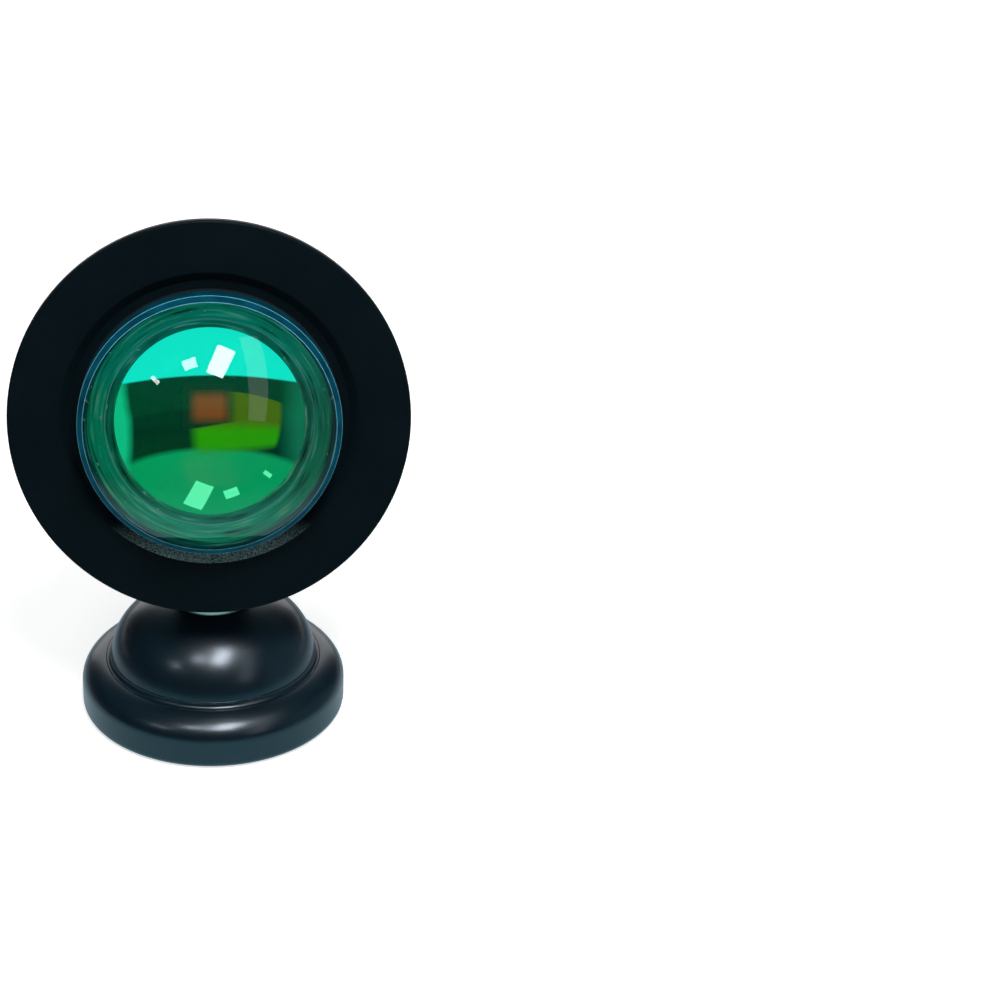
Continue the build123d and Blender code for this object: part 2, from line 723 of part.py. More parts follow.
# LED package with its phosphor pad, on a round metal-core board
with BuildPart() as led_emitter:
    with BuildSketch(head.offset(reflector_back)):
        Rectangle(led_width, led_height)
    extrude(amount=led_thickness)
    with BuildSketch(head.offset(reflector_back + led_thickness)):
        RectangleRounded(led_width - 2 * phosphor_margin, led_height - 2 * phosphor_margin, phosphor_margin)
    extrude(amount=phosphor_thickness)
finish(led_emitter, "led_emitter")

with BuildPart() as led_board:
    with BuildSketch(head.offset(led_board_back)):
        Circle(led_board_diameter / 2)
        with Locations(*led_screws_at):
            Circle(screw_hole_radius, mode=Mode.SUBTRACT)
    extrude(amount=led_board_thickness)
finish(led_board, "led_board")
cap_screws("led_screws", head.offset(reflector_back), led_screws_at, led_board_thickness + screw_bite)

# Heat sink: a disc on the shell's ledge with straight fins behind
with BuildPart() as heat_sink:
    with BuildSketch(head.offset(sink_back)):
        Circle(sink_radius)
        with Locations(*led_screws_at):
            Circle(screw_hole_radius, mode=Mode.SUBTRACT)
    extrude(amount=sink_base)
    with BuildSketch(head.offset(sink_back)):
        with GridLocations(fin_pitch, 0, fin_count, 1):
            Rectangle(fin_thickness, 2 * sink_radius)
        Circle(ledge_radius - seat_clearance, mode=Mode.INTERSECT)
    extrude(amount=fin_tip - sink_back)
finish(heat_sink, "heat_sink")

# Switch, its board and the push button
with BuildPart() as switch_board:
    with BuildSketch(head.offset(switch_seat)):
        Circle(switch_board_diameter / 2)
        with Locations(*switch_screws_at):
            Circle(screw_hole_radius, mode=Mode.SUBTRACT)
    extrude(amount=switch_board_thickness)
finish(switch_board, "switch_board")
cap_screws("switch_screws", head.offset(switch_seat + switch_board_thickness), switch_screws_at,
           switch_board_thickness + screw_bite)

with BuildPart() as switch_body:
    with BuildSketch(head.offset(switch_top)):
        Rectangle(switch_width, switch_width)
    extrude(amount=switch_height)
    with BuildSketch(head.offset(switch_top)):
        Circle(plunger_diameter / 2 + hole_clearance)
    extrude(amount=plunger_engagement + button_travel + hole_clearance, mode=Mode.SUBTRACT)
finish(switch_body, "switch_body")

button_face = shell_back - button_proud
with BuildPart() as power_button:
    with BuildSketch(head_profile) as button_section:
        with BuildLine():
            Polyline((0, button_face), (button_radius, button_face),
                     (button_radius, button_flange_back), (button_flange_radius, button_flange_back),
                     (button_flange_radius, button_flange_front),
                     (button_radius - button_skin, button_flange_front),
                     (button_radius - button_skin, button_face + button_skin),
                     (0, button_face + button_skin), close=True)
        make_face()
        fillet(button_section.vertices().sort_by_distance((button_radius, button_face))[0],
               radius=button_edge_round)
    revolve(axis=head_axis)
finish(power_button, "power_button")

with BuildPart() as switch_plunger:
    with BuildSketch(head.offset(button_face + button_skin)):
        Circle(plunger_diameter / 2)
    extrude(amount=plunger_front - button_face - button_skin)
finish(switch_plunger, "switch_plunger")
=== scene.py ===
import bpy
import bmesh
import math
import numpy as np
from mathutils import Matrix, Vector
from types import SimpleNamespace


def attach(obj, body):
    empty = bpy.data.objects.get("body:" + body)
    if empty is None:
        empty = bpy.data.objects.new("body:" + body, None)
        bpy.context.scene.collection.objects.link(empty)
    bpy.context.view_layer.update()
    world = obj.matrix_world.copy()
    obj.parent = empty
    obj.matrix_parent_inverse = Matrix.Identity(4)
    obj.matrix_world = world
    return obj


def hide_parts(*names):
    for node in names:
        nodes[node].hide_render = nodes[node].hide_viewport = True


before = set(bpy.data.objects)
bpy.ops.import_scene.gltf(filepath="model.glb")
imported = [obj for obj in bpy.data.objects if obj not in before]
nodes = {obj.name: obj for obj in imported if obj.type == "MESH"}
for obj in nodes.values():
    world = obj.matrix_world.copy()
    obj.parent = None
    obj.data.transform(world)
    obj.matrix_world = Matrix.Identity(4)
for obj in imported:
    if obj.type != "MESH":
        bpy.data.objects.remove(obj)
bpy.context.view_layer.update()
print("frame loaded:", len(nodes), "nodes")

mm = 0.001              # sizes below are in millimetres
tiny = 1e-9             # keeps divisions off zero
mergeDistance = 2e-6    # points nearer than this, in metres, are one

# the head's own axes: along the beam, and across it upwards
headPlace = dict(tilt=15.0, hingeHeight=37.1495, reach=20.0, rise=40.0117)
tilt = math.radians(headPlace["tilt"])
beam = np.array([0.0, -math.cos(tilt), math.sin(tilt)])
rise = np.array([0.0, math.sin(tilt), math.cos(tilt)])
side = np.array([1.0, 0.0, 0.0])
rearward = np.array([0.0, 1.0, 0.0])
upward = np.array([0.0, 0.0, 1.0])
hinge = np.array([0.0, 0.0, headPlace["hingeHeight"]])
faceCentre = hinge + headPlace["reach"] * beam + headPlace["rise"] * rise
headAxes = (faceCentre, side, rise, beam)      # origin, two radial axes, axis of turning
baseAxes = (np.zeros(3), side, rearward, upward)


def named(values):
    # a dictionary's values, read as b.radius
    return SimpleNamespace(**values)


spareStep = dict(ofRound=0.35, added=0.02, ofLine=0.2)
def cornerLine(points, rounds, closed=False, steps=6):
    # a polyline whose corners become arcs: tangent length = round / tan(half the corner angle),
    # with one spare point beside each arc so that flats keep flat shading
    pts = np.asarray(points, float)
    count = len(pts)
    out = []
    for i in range(count):
        p, r = pts[i], rounds[i]
        if r == 0 or (not closed and i in (0, count - 1)):
            out.append(p[None])
            continue
        a, b = pts[i - 1] - p, pts[(i + 1) % count] - p
        la, lb = np.linalg.norm(a), np.linalg.norm(b)
        a, b = a / la, b / lb
        half = math.acos(np.clip(a @ b, -1, 1)) / 2
        t = r / math.tan(half)
        middle = (a + b) / np.linalg.norm(a + b)
        centre = p + middle * r / math.sin(half)
        u, v = (p + a * t - centre) / r, (p + b * t - centre) / r
        full = math.acos(np.clip(u @ v, -1, 1))
        w = np.linspace(0, 1, steps)[:, None]
        arc = centre + r * (np.sin((1 - w) * full) * u + np.sin(w * full) * v) / math.sin(full)
        spare = min(spareStep["ofRound"] * r + spareStep["added"], spareStep["ofLine"] * min(la, lb))
        out += [(p + a * (t + spare))[None], arc, (p + b * (t + spare))[None]]
    return np.vstack(out)


def arcPoints(centre, radii, first, last, count):
    # points on an ellipse arc: centre + (a cos t, c sin t), t in degrees
    t = np.radians(np.linspace(first, last, count))
    return np.column_stack([centre[0] + radii[0] * np.cos(t), centre[1] + radii[1] * np.sin(t)])


def tangentArc(start, tangent, end, count):
    # arc that leaves start along tangent and ends at end: radius = chord^2 / (2 * chord . normal)
    start, end = np.asarray(start, float), np.asarray(end, float)
    tangent = np.asarray(tangent, float) / np.linalg.norm(tangent)
    chord = end - start
    normal = np.array([-tangent[1], tangent[0]])
    normal = normal if chord @ normal > 0 else -normal
    radius = chord @ chord / (2 * chord @ normal)
    centre = start + normal * radius
    a = math.atan2(*(start - centre)[::-1])
    b = math.atan2(*(end - centre)[::-1])
    b += 2 * math.pi * round((a - b) / (2 * math.pi))
    t = np.linspace(a, b, count)
    return centre + radius * np.column_stack([np.cos(t), np.sin(t)])


def between(first, last, count):
    # loops of points in even steps from the first loop to the last
    w = np.linspace(0, 1, count)[:, None, None]
    return first * (1 - w) + last * w


def frameLoop(u, v):
    # the border of a grid as one loop of (u, v) points, with its corners once each
    runs = [(u[:-1], v[0]), (u[-1], v[:-1]), (u[:0:-1], v[-1]), (u[0], v[:0:-1])]
    return np.vstack([np.column_stack(np.broadcast_arrays(*run)) for run in runs])


def gridFaces(rows, columns, closeRows=False, closeColumns=False, skip=None):
    # four-corner faces of a rows x columns grid of points, optionally joined end to end
    i = np.arange(rows if closeRows else rows - 1)
    j = np.arange(columns if closeColumns else columns - 1)
    i, j = np.meshgrid(i, j, indexing="ij")
    if skip is not None:
        keep = ~skip(i, j)
        i, j = i[keep], j[keep]
    n, m = (i + 1) % rows, (j + 1) % columns
    quads = [i * columns + j, i * columns + m, n * columns + m, n * columns + j]
    return np.stack([q.ravel() for q in quads], axis=1)


def turned(profile, axes, around, closed=False, skip=None):
    # surface of revolution: origin + level * axis + radius * (cos a * first + sin a * second)
    origin, first, second, axis = axes
    a = np.arange(around) * 2 * math.pi / around
    ring = np.cos(a)[:, None] * first + np.sin(a)[:, None] * second
    verts = origin + profile[:, 1][:, None, None] * axis + profile[:, 0][:, None, None] * ring[None]
    return verts.reshape(-1, 3), gridFaces(len(profile), around, closed, True, skip)


def loopSurface(grid, closeRows=False):
    # grid of points (rows, around, 3), each row a closed loop
    rows, around = grid.shape[:2]
    return grid.reshape(-1, 3), gridFaces(rows, around, closeRows, True)


def slotLoop(directions, length, width):
    # where rays from the middle of a slot with round ends cross its edge
    d = directions / np.linalg.norm(directions, axis=1)[:, None]
    half, r = (length - width) / 2, width / 2
    flat = r / np.maximum(np.abs(d[:, 1]), tiny)
    c = half * np.abs(d[:, 0])
    ended = c + np.sqrt(np.maximum(c * c - half * half + r * r, 0))
    reach = np.where(np.abs(d[:, 0]) * flat <= half, flat, ended)
    return d * reach[:, None]


def roundRect(width, length, corner, around=96):
    # closed outline of a rectangle with round corners, evenly spaced by angle on each corner
    cx, cy = width / 2 - corner, length / 2 - corner
    corners = [(cx, cy, 0), (-cx, cy, 90), (-cx, -cy, 180), (cx, -cy, 270)]
    return np.vstack([arcPoints((x, y), (corner, corner), a, a + 90, around // 4) for x, y, a in corners])


def slab(outline, thickness, edge, plane, past=1e3):
    # closed plate: the outline drawn in by the edge round at both faces and closed to a middle point,
    # where the inset goes past the middle
    origin, first, second, normal = plane
    t = np.radians(np.linspace(0, 90, 5))
    fall, lift = edge * (1 - np.sin(t)), edge * (1 - np.cos(t))
    inset = np.concatenate([[past, edge * 2], fall, fall[::-1], [edge * 2, past]])
    level = np.concatenate([[0, 0], lift, (thickness - lift)[::-1], [thickness, thickness]])
    reach = np.linalg.norm(outline, axis=1)
    share = np.maximum(1 - inset[:, None] / reach[None], 0)
    flat = outline[None] * share[..., None]
    grid = origin + flat[..., :1] * first + flat[..., 1:] * second + level[:, None, None] * normal
    return loopSurface(grid)


def eyeSurface(outline, hole, thickness, edge, plane, step=0.3):
    # a plate with a round hole: the section runs up the hole, over one face, down the rim and back
    origin, first, second, normal = plane
    t = np.radians(np.linspace(0, 90, 5))
    unit = outline / np.linalg.norm(outline, axis=1)[:, None]
    inner = unit * hole
    half = thickness / 2
    rows = [(inner, -half), (inner, half), (inner + unit * step, half), (outline - unit * 2 * edge, half)]
    rows += [(outline - unit * edge * (1 - math.sin(x)), half - edge * (1 - math.cos(x))) for x in t]
    rows += [(outline - unit * edge * (1 - math.sin(x)), -half + edge * (1 - math.cos(x))) for x in t[::-1]]
    rows += [(outline - unit * 2 * edge, -half), (inner + unit * step, -half)]
    grid = np.stack([origin + p[:, :1] * first + p[:, 1:] * second + z * normal for p, z in rows])
    return loopSurface(grid, closeRows=True)


def beamPlace(middles):
    # distance from the beam's axis, and level along the beam in front of the face plate
    level = (middles - faceCentre) @ beam
    return np.linalg.norm(middles - faceCentre - level[:, None] * beam, axis=1), level


def addObject(name, data):
    obj = bpy.data.objects.new(name, data)
    bpy.context.scene.collection.objects.link(obj)
    return obj


def addPiece(name, shapes, materials, body, node, chooseMaterial=None):
    # joins point grids into one mesh in metres, closes seams and poles, and hands it to its body;
    # chooseMaterial gives each face a material's number from the middle of the face, in millimetres
    verts, faces, start = [], [], 0
    for v, f in shapes:
        verts.append(v)
        faces.append(f + start)
        start += len(v)
    verts, faces = np.vstack(verts) * mm, np.vstack(faces)
    mesh = bpy.data.meshes.new(name)
    mesh.vertices.add(len(verts))
    mesh.vertices.foreach_set("co", verts.ravel())
    mesh.loops.add(faces.size)
    mesh.loops.foreach_set("vertex_index", faces.ravel())
    mesh.polygons.add(len(faces))
    mesh.polygons.foreach_set("loop_start", np.arange(len(faces)) * 4)
    mesh.update(calc_edges=True)
    bm = bmesh.new()
    bm.from_mesh(mesh)
    bmesh.ops.remove_doubles(bm, verts=bm.verts, dist=mergeDistance)
    bmesh.ops.recalc_face_normals(bm, faces=bm.faces)
    bm.to_mesh(mesh)
    bm.free()
    mesh.shade_smooth()
    for m in materials:
        mesh.materials.append(m)
    if chooseMaterial:
        middles = np.empty(len(mesh.polygons) * 3)
        mesh.polygons.foreach_get("center", middles)
        mesh.polygons.foreach_set("material_index", chooseMaterial(middles.reshape(-1, 3) / mm))
    obj = addObject(name, mesh)
    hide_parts(node)
    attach(obj, body)
    print("piece", name, len(mesh.polygons), "faces")


def linear(hexText):
    # sRGB hex to linear: c / 12.92 below 0.04045, else ((c + 0.055) / 1.055) ^ 2.4
    c = np.array([int(hexText[i:i + 2], 16) for i in (1, 3, 5)]) / 255
    c = np.where(c <= 0.04045, c / 12.92, ((c + 0.055) / 1.055) ** 2.4)
    return (*c.tolist(), 1.0)


def addNode(tree, kind, inputs=None, **settings):
    # one node with its settings, and values or links for its sockets; a node links by its first live output
    node = tree.nodes.new("ShaderNode" + kind)
    for name, value in settings.items():
        setattr(node, name, value)
    for key, value in (inputs or {}).items():
        if isinstance(value, bpy.types.Node):
            value = next(socket for socket in value.outputs if socket.enabled)
        if isinstance(value, bpy.types.NodeSocket):
            tree.links.new(value, node.inputs[key])
        else:
            node.inputs[key].default_value = value
    return node


def newMaterial(name):
    material = bpy.data.materials.new(name)
    material.use_nodes = True
    material.node_tree.nodes.clear()
    return material, material.node_tree


def perMetre(size):
    # texture scale whose cells are about this many millimetres across
    return 1 / (size * mm)


def setRamp(ramp, tones):
    # colour stops from pairs of place and hex colour
    while len(ramp.elements) < len(tones):
        ramp.elements.new(1.0)
    for stop, (place, colour) in zip(ramp.elements, tones):
        stop.position, stop.color = place, linear(colour)


def blend(tree, value, span, first, second):
    # goes from the first colour to the second while value crosses the span
    share = addNode(tree, "MapRange", {"Value": value, "From Min": span[0], "From Max": span[1]})
    return addNode(tree, "Mix", {"Factor": share, "A": first, "B": second}, data_type="RGBA")


def faceOffsets(tree, place):
    # distances from the middle of the face plate, sideways and up along it
    off = addNode(tree, "VectorMath", {0: place, 1: (faceCentre * mm).tolist()}, operation="SUBTRACT")
    return [addNode(tree, "VectorMath", {0: off, 1: axis.tolist()}, operation="DOT_PRODUCT")
            for axis in (side, rise)]


# satin black paint on die-cast zinc: blue-black, smooth, with the faint ripple of sprayed paint
satinPaint = dict(dark="#03111b", pale="#051924", tint="#c6d5e2", ior=1.7, lacquer=0.5, lacquerRough=0.34,
                  cloud=(9.0, 3.0), speck=(0.6, 2.0), rough=(0.23, 0.27),
                  ripple=(1.6, 1.0), bump=0.003, strength=0.25)
# matt black anodised aluminium, bead blasted: deep teal-black with a fine bright grain where light grazes it
mattAnodised = dict(dark="#030d12", pale="#06161c", gloss=0.1,
                    cloud=(14.0, 4.0), speck=(0.22, 2.0), rough=(0.34, 0.52),
                    ripple=(0.22, 2.0), bump=0.012, strength=0.5)
# plain finishes: one noise of the given size for tone, roughness and bump
plainBasis = dict(metal=0.0, ior=1.5, detail=3.0, strength=0.4)
plainFinishes = {
    # dull black, almost without gloss
    "mouldedRubber": dict(dark="#0d0e0f", pale="#17191a", rough=(0.7, 0.9), size=0.5, bump=0.02),
    # black with the fine even texture of the mould
    "mouldedAbs": dict(dark="#101314", pale="#181b1d", rough=(0.42, 0.55), size=0.4, bump=0.01, ior=1.53),
    # black, smoother than the mouldings round it
    "buttonAbs": dict(dark="#14181b", pale="#1b2023", rough=(0.3, 0.4), size=0.6, bump=0.006, ior=1.53),
    # dim grey metal with blurred reflections; the dimness is painted shade, keeping the inside behind the
    # coat dark where a metallised cup would be bright
    "metallisedPaintedShade": dict(dark="#4c5052", pale="#5e6264", rough=(0.3, 0.4), size=3.0, bump=0.004, metal=1),
    # dark green lacquer, faintly mottled
    "greenLaminate": dict(dark="#0a3d22", pale="#12532f", rough=(0.35, 0.5), size=0.8, bump=0.01),
    # black lacquer, faintly mottled
    "blackLaminate": dict(dark="#14171a", pale="#1e2225", rough=(0.4, 0.55), size=0.8, bump=0.01),
    # pale grey metal with soft reflections
    "milledAluminium": dict(dark="#a9acae", pale="#c2c5c7", rough=(0.3, 0.42), size=0.5, bump=0.01, metal=1),
    # bluish bright metal, faintly mottled
    "zincPlatedSteel": dict(dark="#8f9397", pale="#b5b9bd", rough=(0.24, 0.4), size=0.6, bump=0.008, metal=1),
    # dark grey, dull and fine-grained
    "phosphatedIron": dict(dark="#2c2d2e", pale="#3b3c3d", rough=(0.6, 0.8), size=0.5, bump=0.02, metal=0.6),
    # milky white, slightly waxy
    "naturalAcetal": dict(dark="#dedcd3", pale="#ebe9e1", rough=(0.38, 0.5), size=0.7, bump=0.008, ior=1.48),
    # warm bright metal with clear reflections
    "satinNickel": dict(dark="#e6d2c4", pale="#f2dfd2", rough=(0.09, 0.13), size=0.6, bump=0.004, metal=1),
    # frosted dark teal, cloudy: painted light, the coat's colour as the frosted edge of the clear glass
    # scatters it; the low IOR keeps its gloss down
    "groundGlassPaintedBlue": dict(dark="#001724", pale="#065a72", rough=(0.3, 0.45), size=5.0, bump=0.01, ior=1.1),
    # painted highlight: a thin pale blue line along the glass's edges and one ring on the dish
    "paintedHighlightLine": dict(dark="#5fb2c6", pale="#74c2d4", rough=(0.15, 0.25), size=0.8, bump=0.002,
                          ior=1.517),
    # bright grey metal
    "tinnedSteel": dict(dark="#9fa2a3", pale="#c4c6c7", rough=(0.2, 0.34), size=0.5, bump=0.006, metal=1),
}
noiseSpan = (0.3, 0.7)      # where most of a noise's values lie
def makeFinish(name, look, shader):
    # tone, roughness and bump follow three noises, each given as its size in millimetres and its detail
    k = named(look)
    material, tree = newMaterial(name)
    place = addNode(tree, "TexCoord").outputs["Object"]
    cloud, speck, ripple = [
        addNode(tree, "TexNoise", {"Vector": place, "Scale": perMetre(size), "Detail": detail})
        for size, detail in (k.cloud, k.speck, k.ripple)]
    tone = addNode(tree, "Mix", {"Factor": cloud, "A": linear(k.dark), "B": linear(k.pale)}, data_type="RGBA")
    rough = addNode(tree, "MapRange", {"Value": speck, "From Min": noiseSpan[0], "From Max": noiseSpan[1],
                                       "To Min": k.rough[0], "To Max": k.rough[1]})
    bump = addNode(tree, "Bump", {"Height": ripple, "Strength": k.strength, "Distance": k.bump * mm})
    surface = addNode(tree, "BsdfPrincipled", {"Base Color": tone, "Roughness": rough, "Normal": bump,
                                               **shader})
    addNode(tree, "OutputMaterial", {"Surface": surface})
    return material


def makePlainFinish(name):
    look = {**plainBasis, **plainFinishes[name]}
    noise = (look["size"], look["detail"])
    return makeFinish(name, dict(look, cloud=noise, speck=noise, ripple=noise),
                      {"Metallic": look["metal"], "IOR": look["ior"]})


# polished crown glass: clear, with sharp reflections
lensGlass = dict(tone="#f4fffb", ior=1.517)
def makeLensGlass():
    material, tree = newMaterial("polishedCrownGlass")
    surface = addNode(tree, "BsdfPrincipled", {"Base Color": linear(lensGlass["tone"]), "Roughness": 0.0,
                                               "IOR": lensGlass["ior"], "Transmission Weight": 1.0})
    addNode(tree, "OutputMaterial", {"Surface": surface})
    return material


# clear cement between the lens and its coated dish: no boundary, so nothing mirrors before the coat does
def makeClearCement():
    material, tree = newMaterial("clearOpticalCement")
    addNode(tree, "OutputMaterial", {"Surface": addNode(tree, "BsdfTransparent")})
    return material


# dichroic coat: a cyan-green mirror that lets orange through; past the critical angle nothing comes through
dichroicCoat = dict(mirror="#27ffd8", rough=0.01,
                    through=[(0.0, "#af5917"), (0.18, "#af5917"), (0.25, "#000000")])
def makeDichroicCoat():
    k = named(dichroicCoat)
    material, tree = newMaterial("dichroicCoat")
    slant = addNode(tree, "LayerWeight", {"Blend": 0.5})       # facing = 1 - cosine of the slant
    passed = addNode(tree, "ValToRGB", {"Fac": slant.outputs["Facing"]})
    setRamp(passed.color_ramp, k.through)
    mirror = addNode(tree, "BsdfGlossy", {"Color": linear(k.mirror), "Roughness": k.rough})
    clear = addNode(tree, "BsdfTransparent", {"Color": passed})
    both = addNode(tree, "AddShader", {0: mirror, 1: clear})
    addNode(tree, "OutputMaterial", {"Surface": both})
    return material


# the coat's margin over the dish's blackened rim: satin bands of teal and blue with a few pale specks;
# the pale and dark streaks round the axis are guessed
marginBands = {
    "marginGap": dict(dark="#0a8570", pale="#0b9880", reach=18.7),
    "marginTeal": dict(dark="#0aa88c", pale="#0bc0a0", reach=24.0),
    "marginBlue": dict(dark="#046068", pale="#067078", reach=30.0),
}
marginLook = dict(rough=0.45, matt=0.5, streak=0.8, turns=2.2, deep="#02302c", bright="#7fd8c8",
                  steps=(0.28, 0.42, 0.58, 0.74), speck=1.3, speckTone="#8fc4b4", speckSpan=(0.70, 0.76))
def makeMargin(name):
    band, k = marginBands[name], named(marginLook)
    material, tree = newMaterial(name)
    place = addNode(tree, "TexCoord").outputs["Object"]
    across, up = faceOffsets(tree, place)
    flat = addNode(tree, "CombineXYZ", {"X": across, "Y": up})
    reach = addNode(tree, "VectorMath", {0: flat}, operation="LENGTH")
    # streaks: noise at (turns * cos a, turns * sin a, reach / width), long round the axis and thin across
    way = addNode(tree, "VectorMath", {0: flat}, operation="NORMALIZE")
    way = addNode(tree, "VectorMath", {0: way, "Scale": k.turns}, operation="SCALE")
    width = addNode(tree, "Math", {0: reach, 1: perMetre(k.streak)}, operation="MULTIPLY")
    ring = addNode(tree, "CombineXYZ", {"Z": width})
    spot = addNode(tree, "VectorMath", {0: way, 1: ring}, operation="ADD")
    streak = addNode(tree, "TexNoise", {"Vector": spot, "Scale": 1.0, "Detail": 2.0})
    tone = addNode(tree, "ValToRGB", {"Fac": streak})
    setRamp(tone.color_ramp, list(zip(k.steps, (k.deep, band["dark"], band["pale"], k.bright))))
    speck = addNode(tree, "TexNoise", {"Vector": place, "Scale": perMetre(k.speck), "Detail": 2.0})
    tone = blend(tree, speck, k.speckSpan, tone, linear(k.speckTone))
    gloss = addNode(tree, "BsdfGlossy", {"Color": tone, "Roughness": k.rough})
    matt = addNode(tree, "BsdfDiffuse", {"Color": tone})
    both = addNode(tree, "MixShader", {0: k.matt, 1: gloss, 2: matt})
    addNode(tree, "OutputMaterial", {"Surface": both})
    return material


# yellow phosphor under clear silicone: a lemon pad that fades into a dark dam, with a painted glow on the pad
phosphorLook = dict(pad="#f8c828", dam="#1b1a17", glow=0.38, width=6.6, height=5.6, soft=1.6, rough=0.5)
def makePhosphor():
    k = named(phosphorLook)
    material, tree = newMaterial("yellowPhosphorWithPaintedGlow")
    place = addNode(tree, "TexCoord").outputs["Object"]
    inside = []
    for off, size in zip(faceOffsets(tree, place), (k.width, k.height)):
        far = addNode(tree, "Math", {0: off}, operation="ABSOLUTE")
        inside.append(addNode(tree, "MapRange", {"Value": far, "From Min": size / 2 * mm,
                                                 "From Max": (size / 2 - k.soft) * mm}))
    both = addNode(tree, "Math", {0: inside[0], 1: inside[1]}, operation="MULTIPLY")
    tone = addNode(tree, "Mix", {"Factor": both, "A": linear(k.dam), "B": linear(k.pad)}, data_type="RGBA")
    # the emission is painted light: the unlit pad glows, standing in for light reaching it through the lens
    surface = addNode(tree, "BsdfPrincipled", {"Base Color": tone, "Roughness": k.rough,
                                               "Emission Color": tone, "Emission Strength": k.glow})
    addNode(tree, "OutputMaterial", {"Surface": surface})
    return material


# pale specks in the countersink on the matt coat: painted light for the bright crescent below the lens, thick
# low on the slope, where it faces up, fading out by height and none above
paintedLightSpecks = dict(coat="#06161c", dust="#a5cccc", speck=0.3, span=(0.35, 0.75), low=50.0, high=57.0, rough=0.7)
def makePaintedLightSlope():
    k = named(paintedLightSpecks)
    material, tree = newMaterial("anodisedWithPaintedLight")
    place = addNode(tree, "TexCoord").outputs["Object"]
    level = addNode(tree, "SeparateXYZ", {"Vector": place}).outputs["Z"]
    fall = addNode(tree, "MapRange", {"Value": level, "From Min": k.high * mm, "From Max": k.low * mm})
    speck = addNode(tree, "TexNoise", {"Vector": place, "Scale": perMetre(k.speck), "Detail": 3.0})
    thick = addNode(tree, "MapRange", {"Value": speck, "From Min": k.span[0], "From Max": k.span[1]})
    cover = addNode(tree, "Math", {0: fall, 1: thick}, operation="MULTIPLY")
    tone = addNode(tree, "Mix", {"Factor": cover, "A": linear(k.coat), "B": linear(k.dust)}, data_type="RGBA")
    surface = addNode(tree, "BsdfPrincipled", {"Base Color": tone, "Roughness": k.rough,
                                               "Specular IOR Level": mattAnodised["gloss"]})
    addNode(tree, "OutputMaterial", {"Surface": surface})
    return material


paint = makeFinish("satinPaintOnZinc", satinPaint, {
    "IOR": satinPaint["ior"], "Specular Tint": linear(satinPaint["tint"]),
    "Coat Weight": satinPaint["lacquer"], "Coat Roughness": satinPaint["lacquerRough"]})
anodised = makeFinish("mattAnodisedAluminium", mattAnodised, {"Specular IOR Level": mattAnodised["gloss"]})
glass, cement, coat = makeLensGlass(), makeClearCement(), makeDichroicCoat()
margins, paintedLightSlope = {name: makeMargin(name) for name in marginBands}, makePaintedLightSlope()
finishes = {name: makePlainFinish(name) for name in plainFinishes}
finishes["yellowPhosphorWithPaintedGlow"] = makePhosphor()
print("materials made:", len(bpy.data.materials))

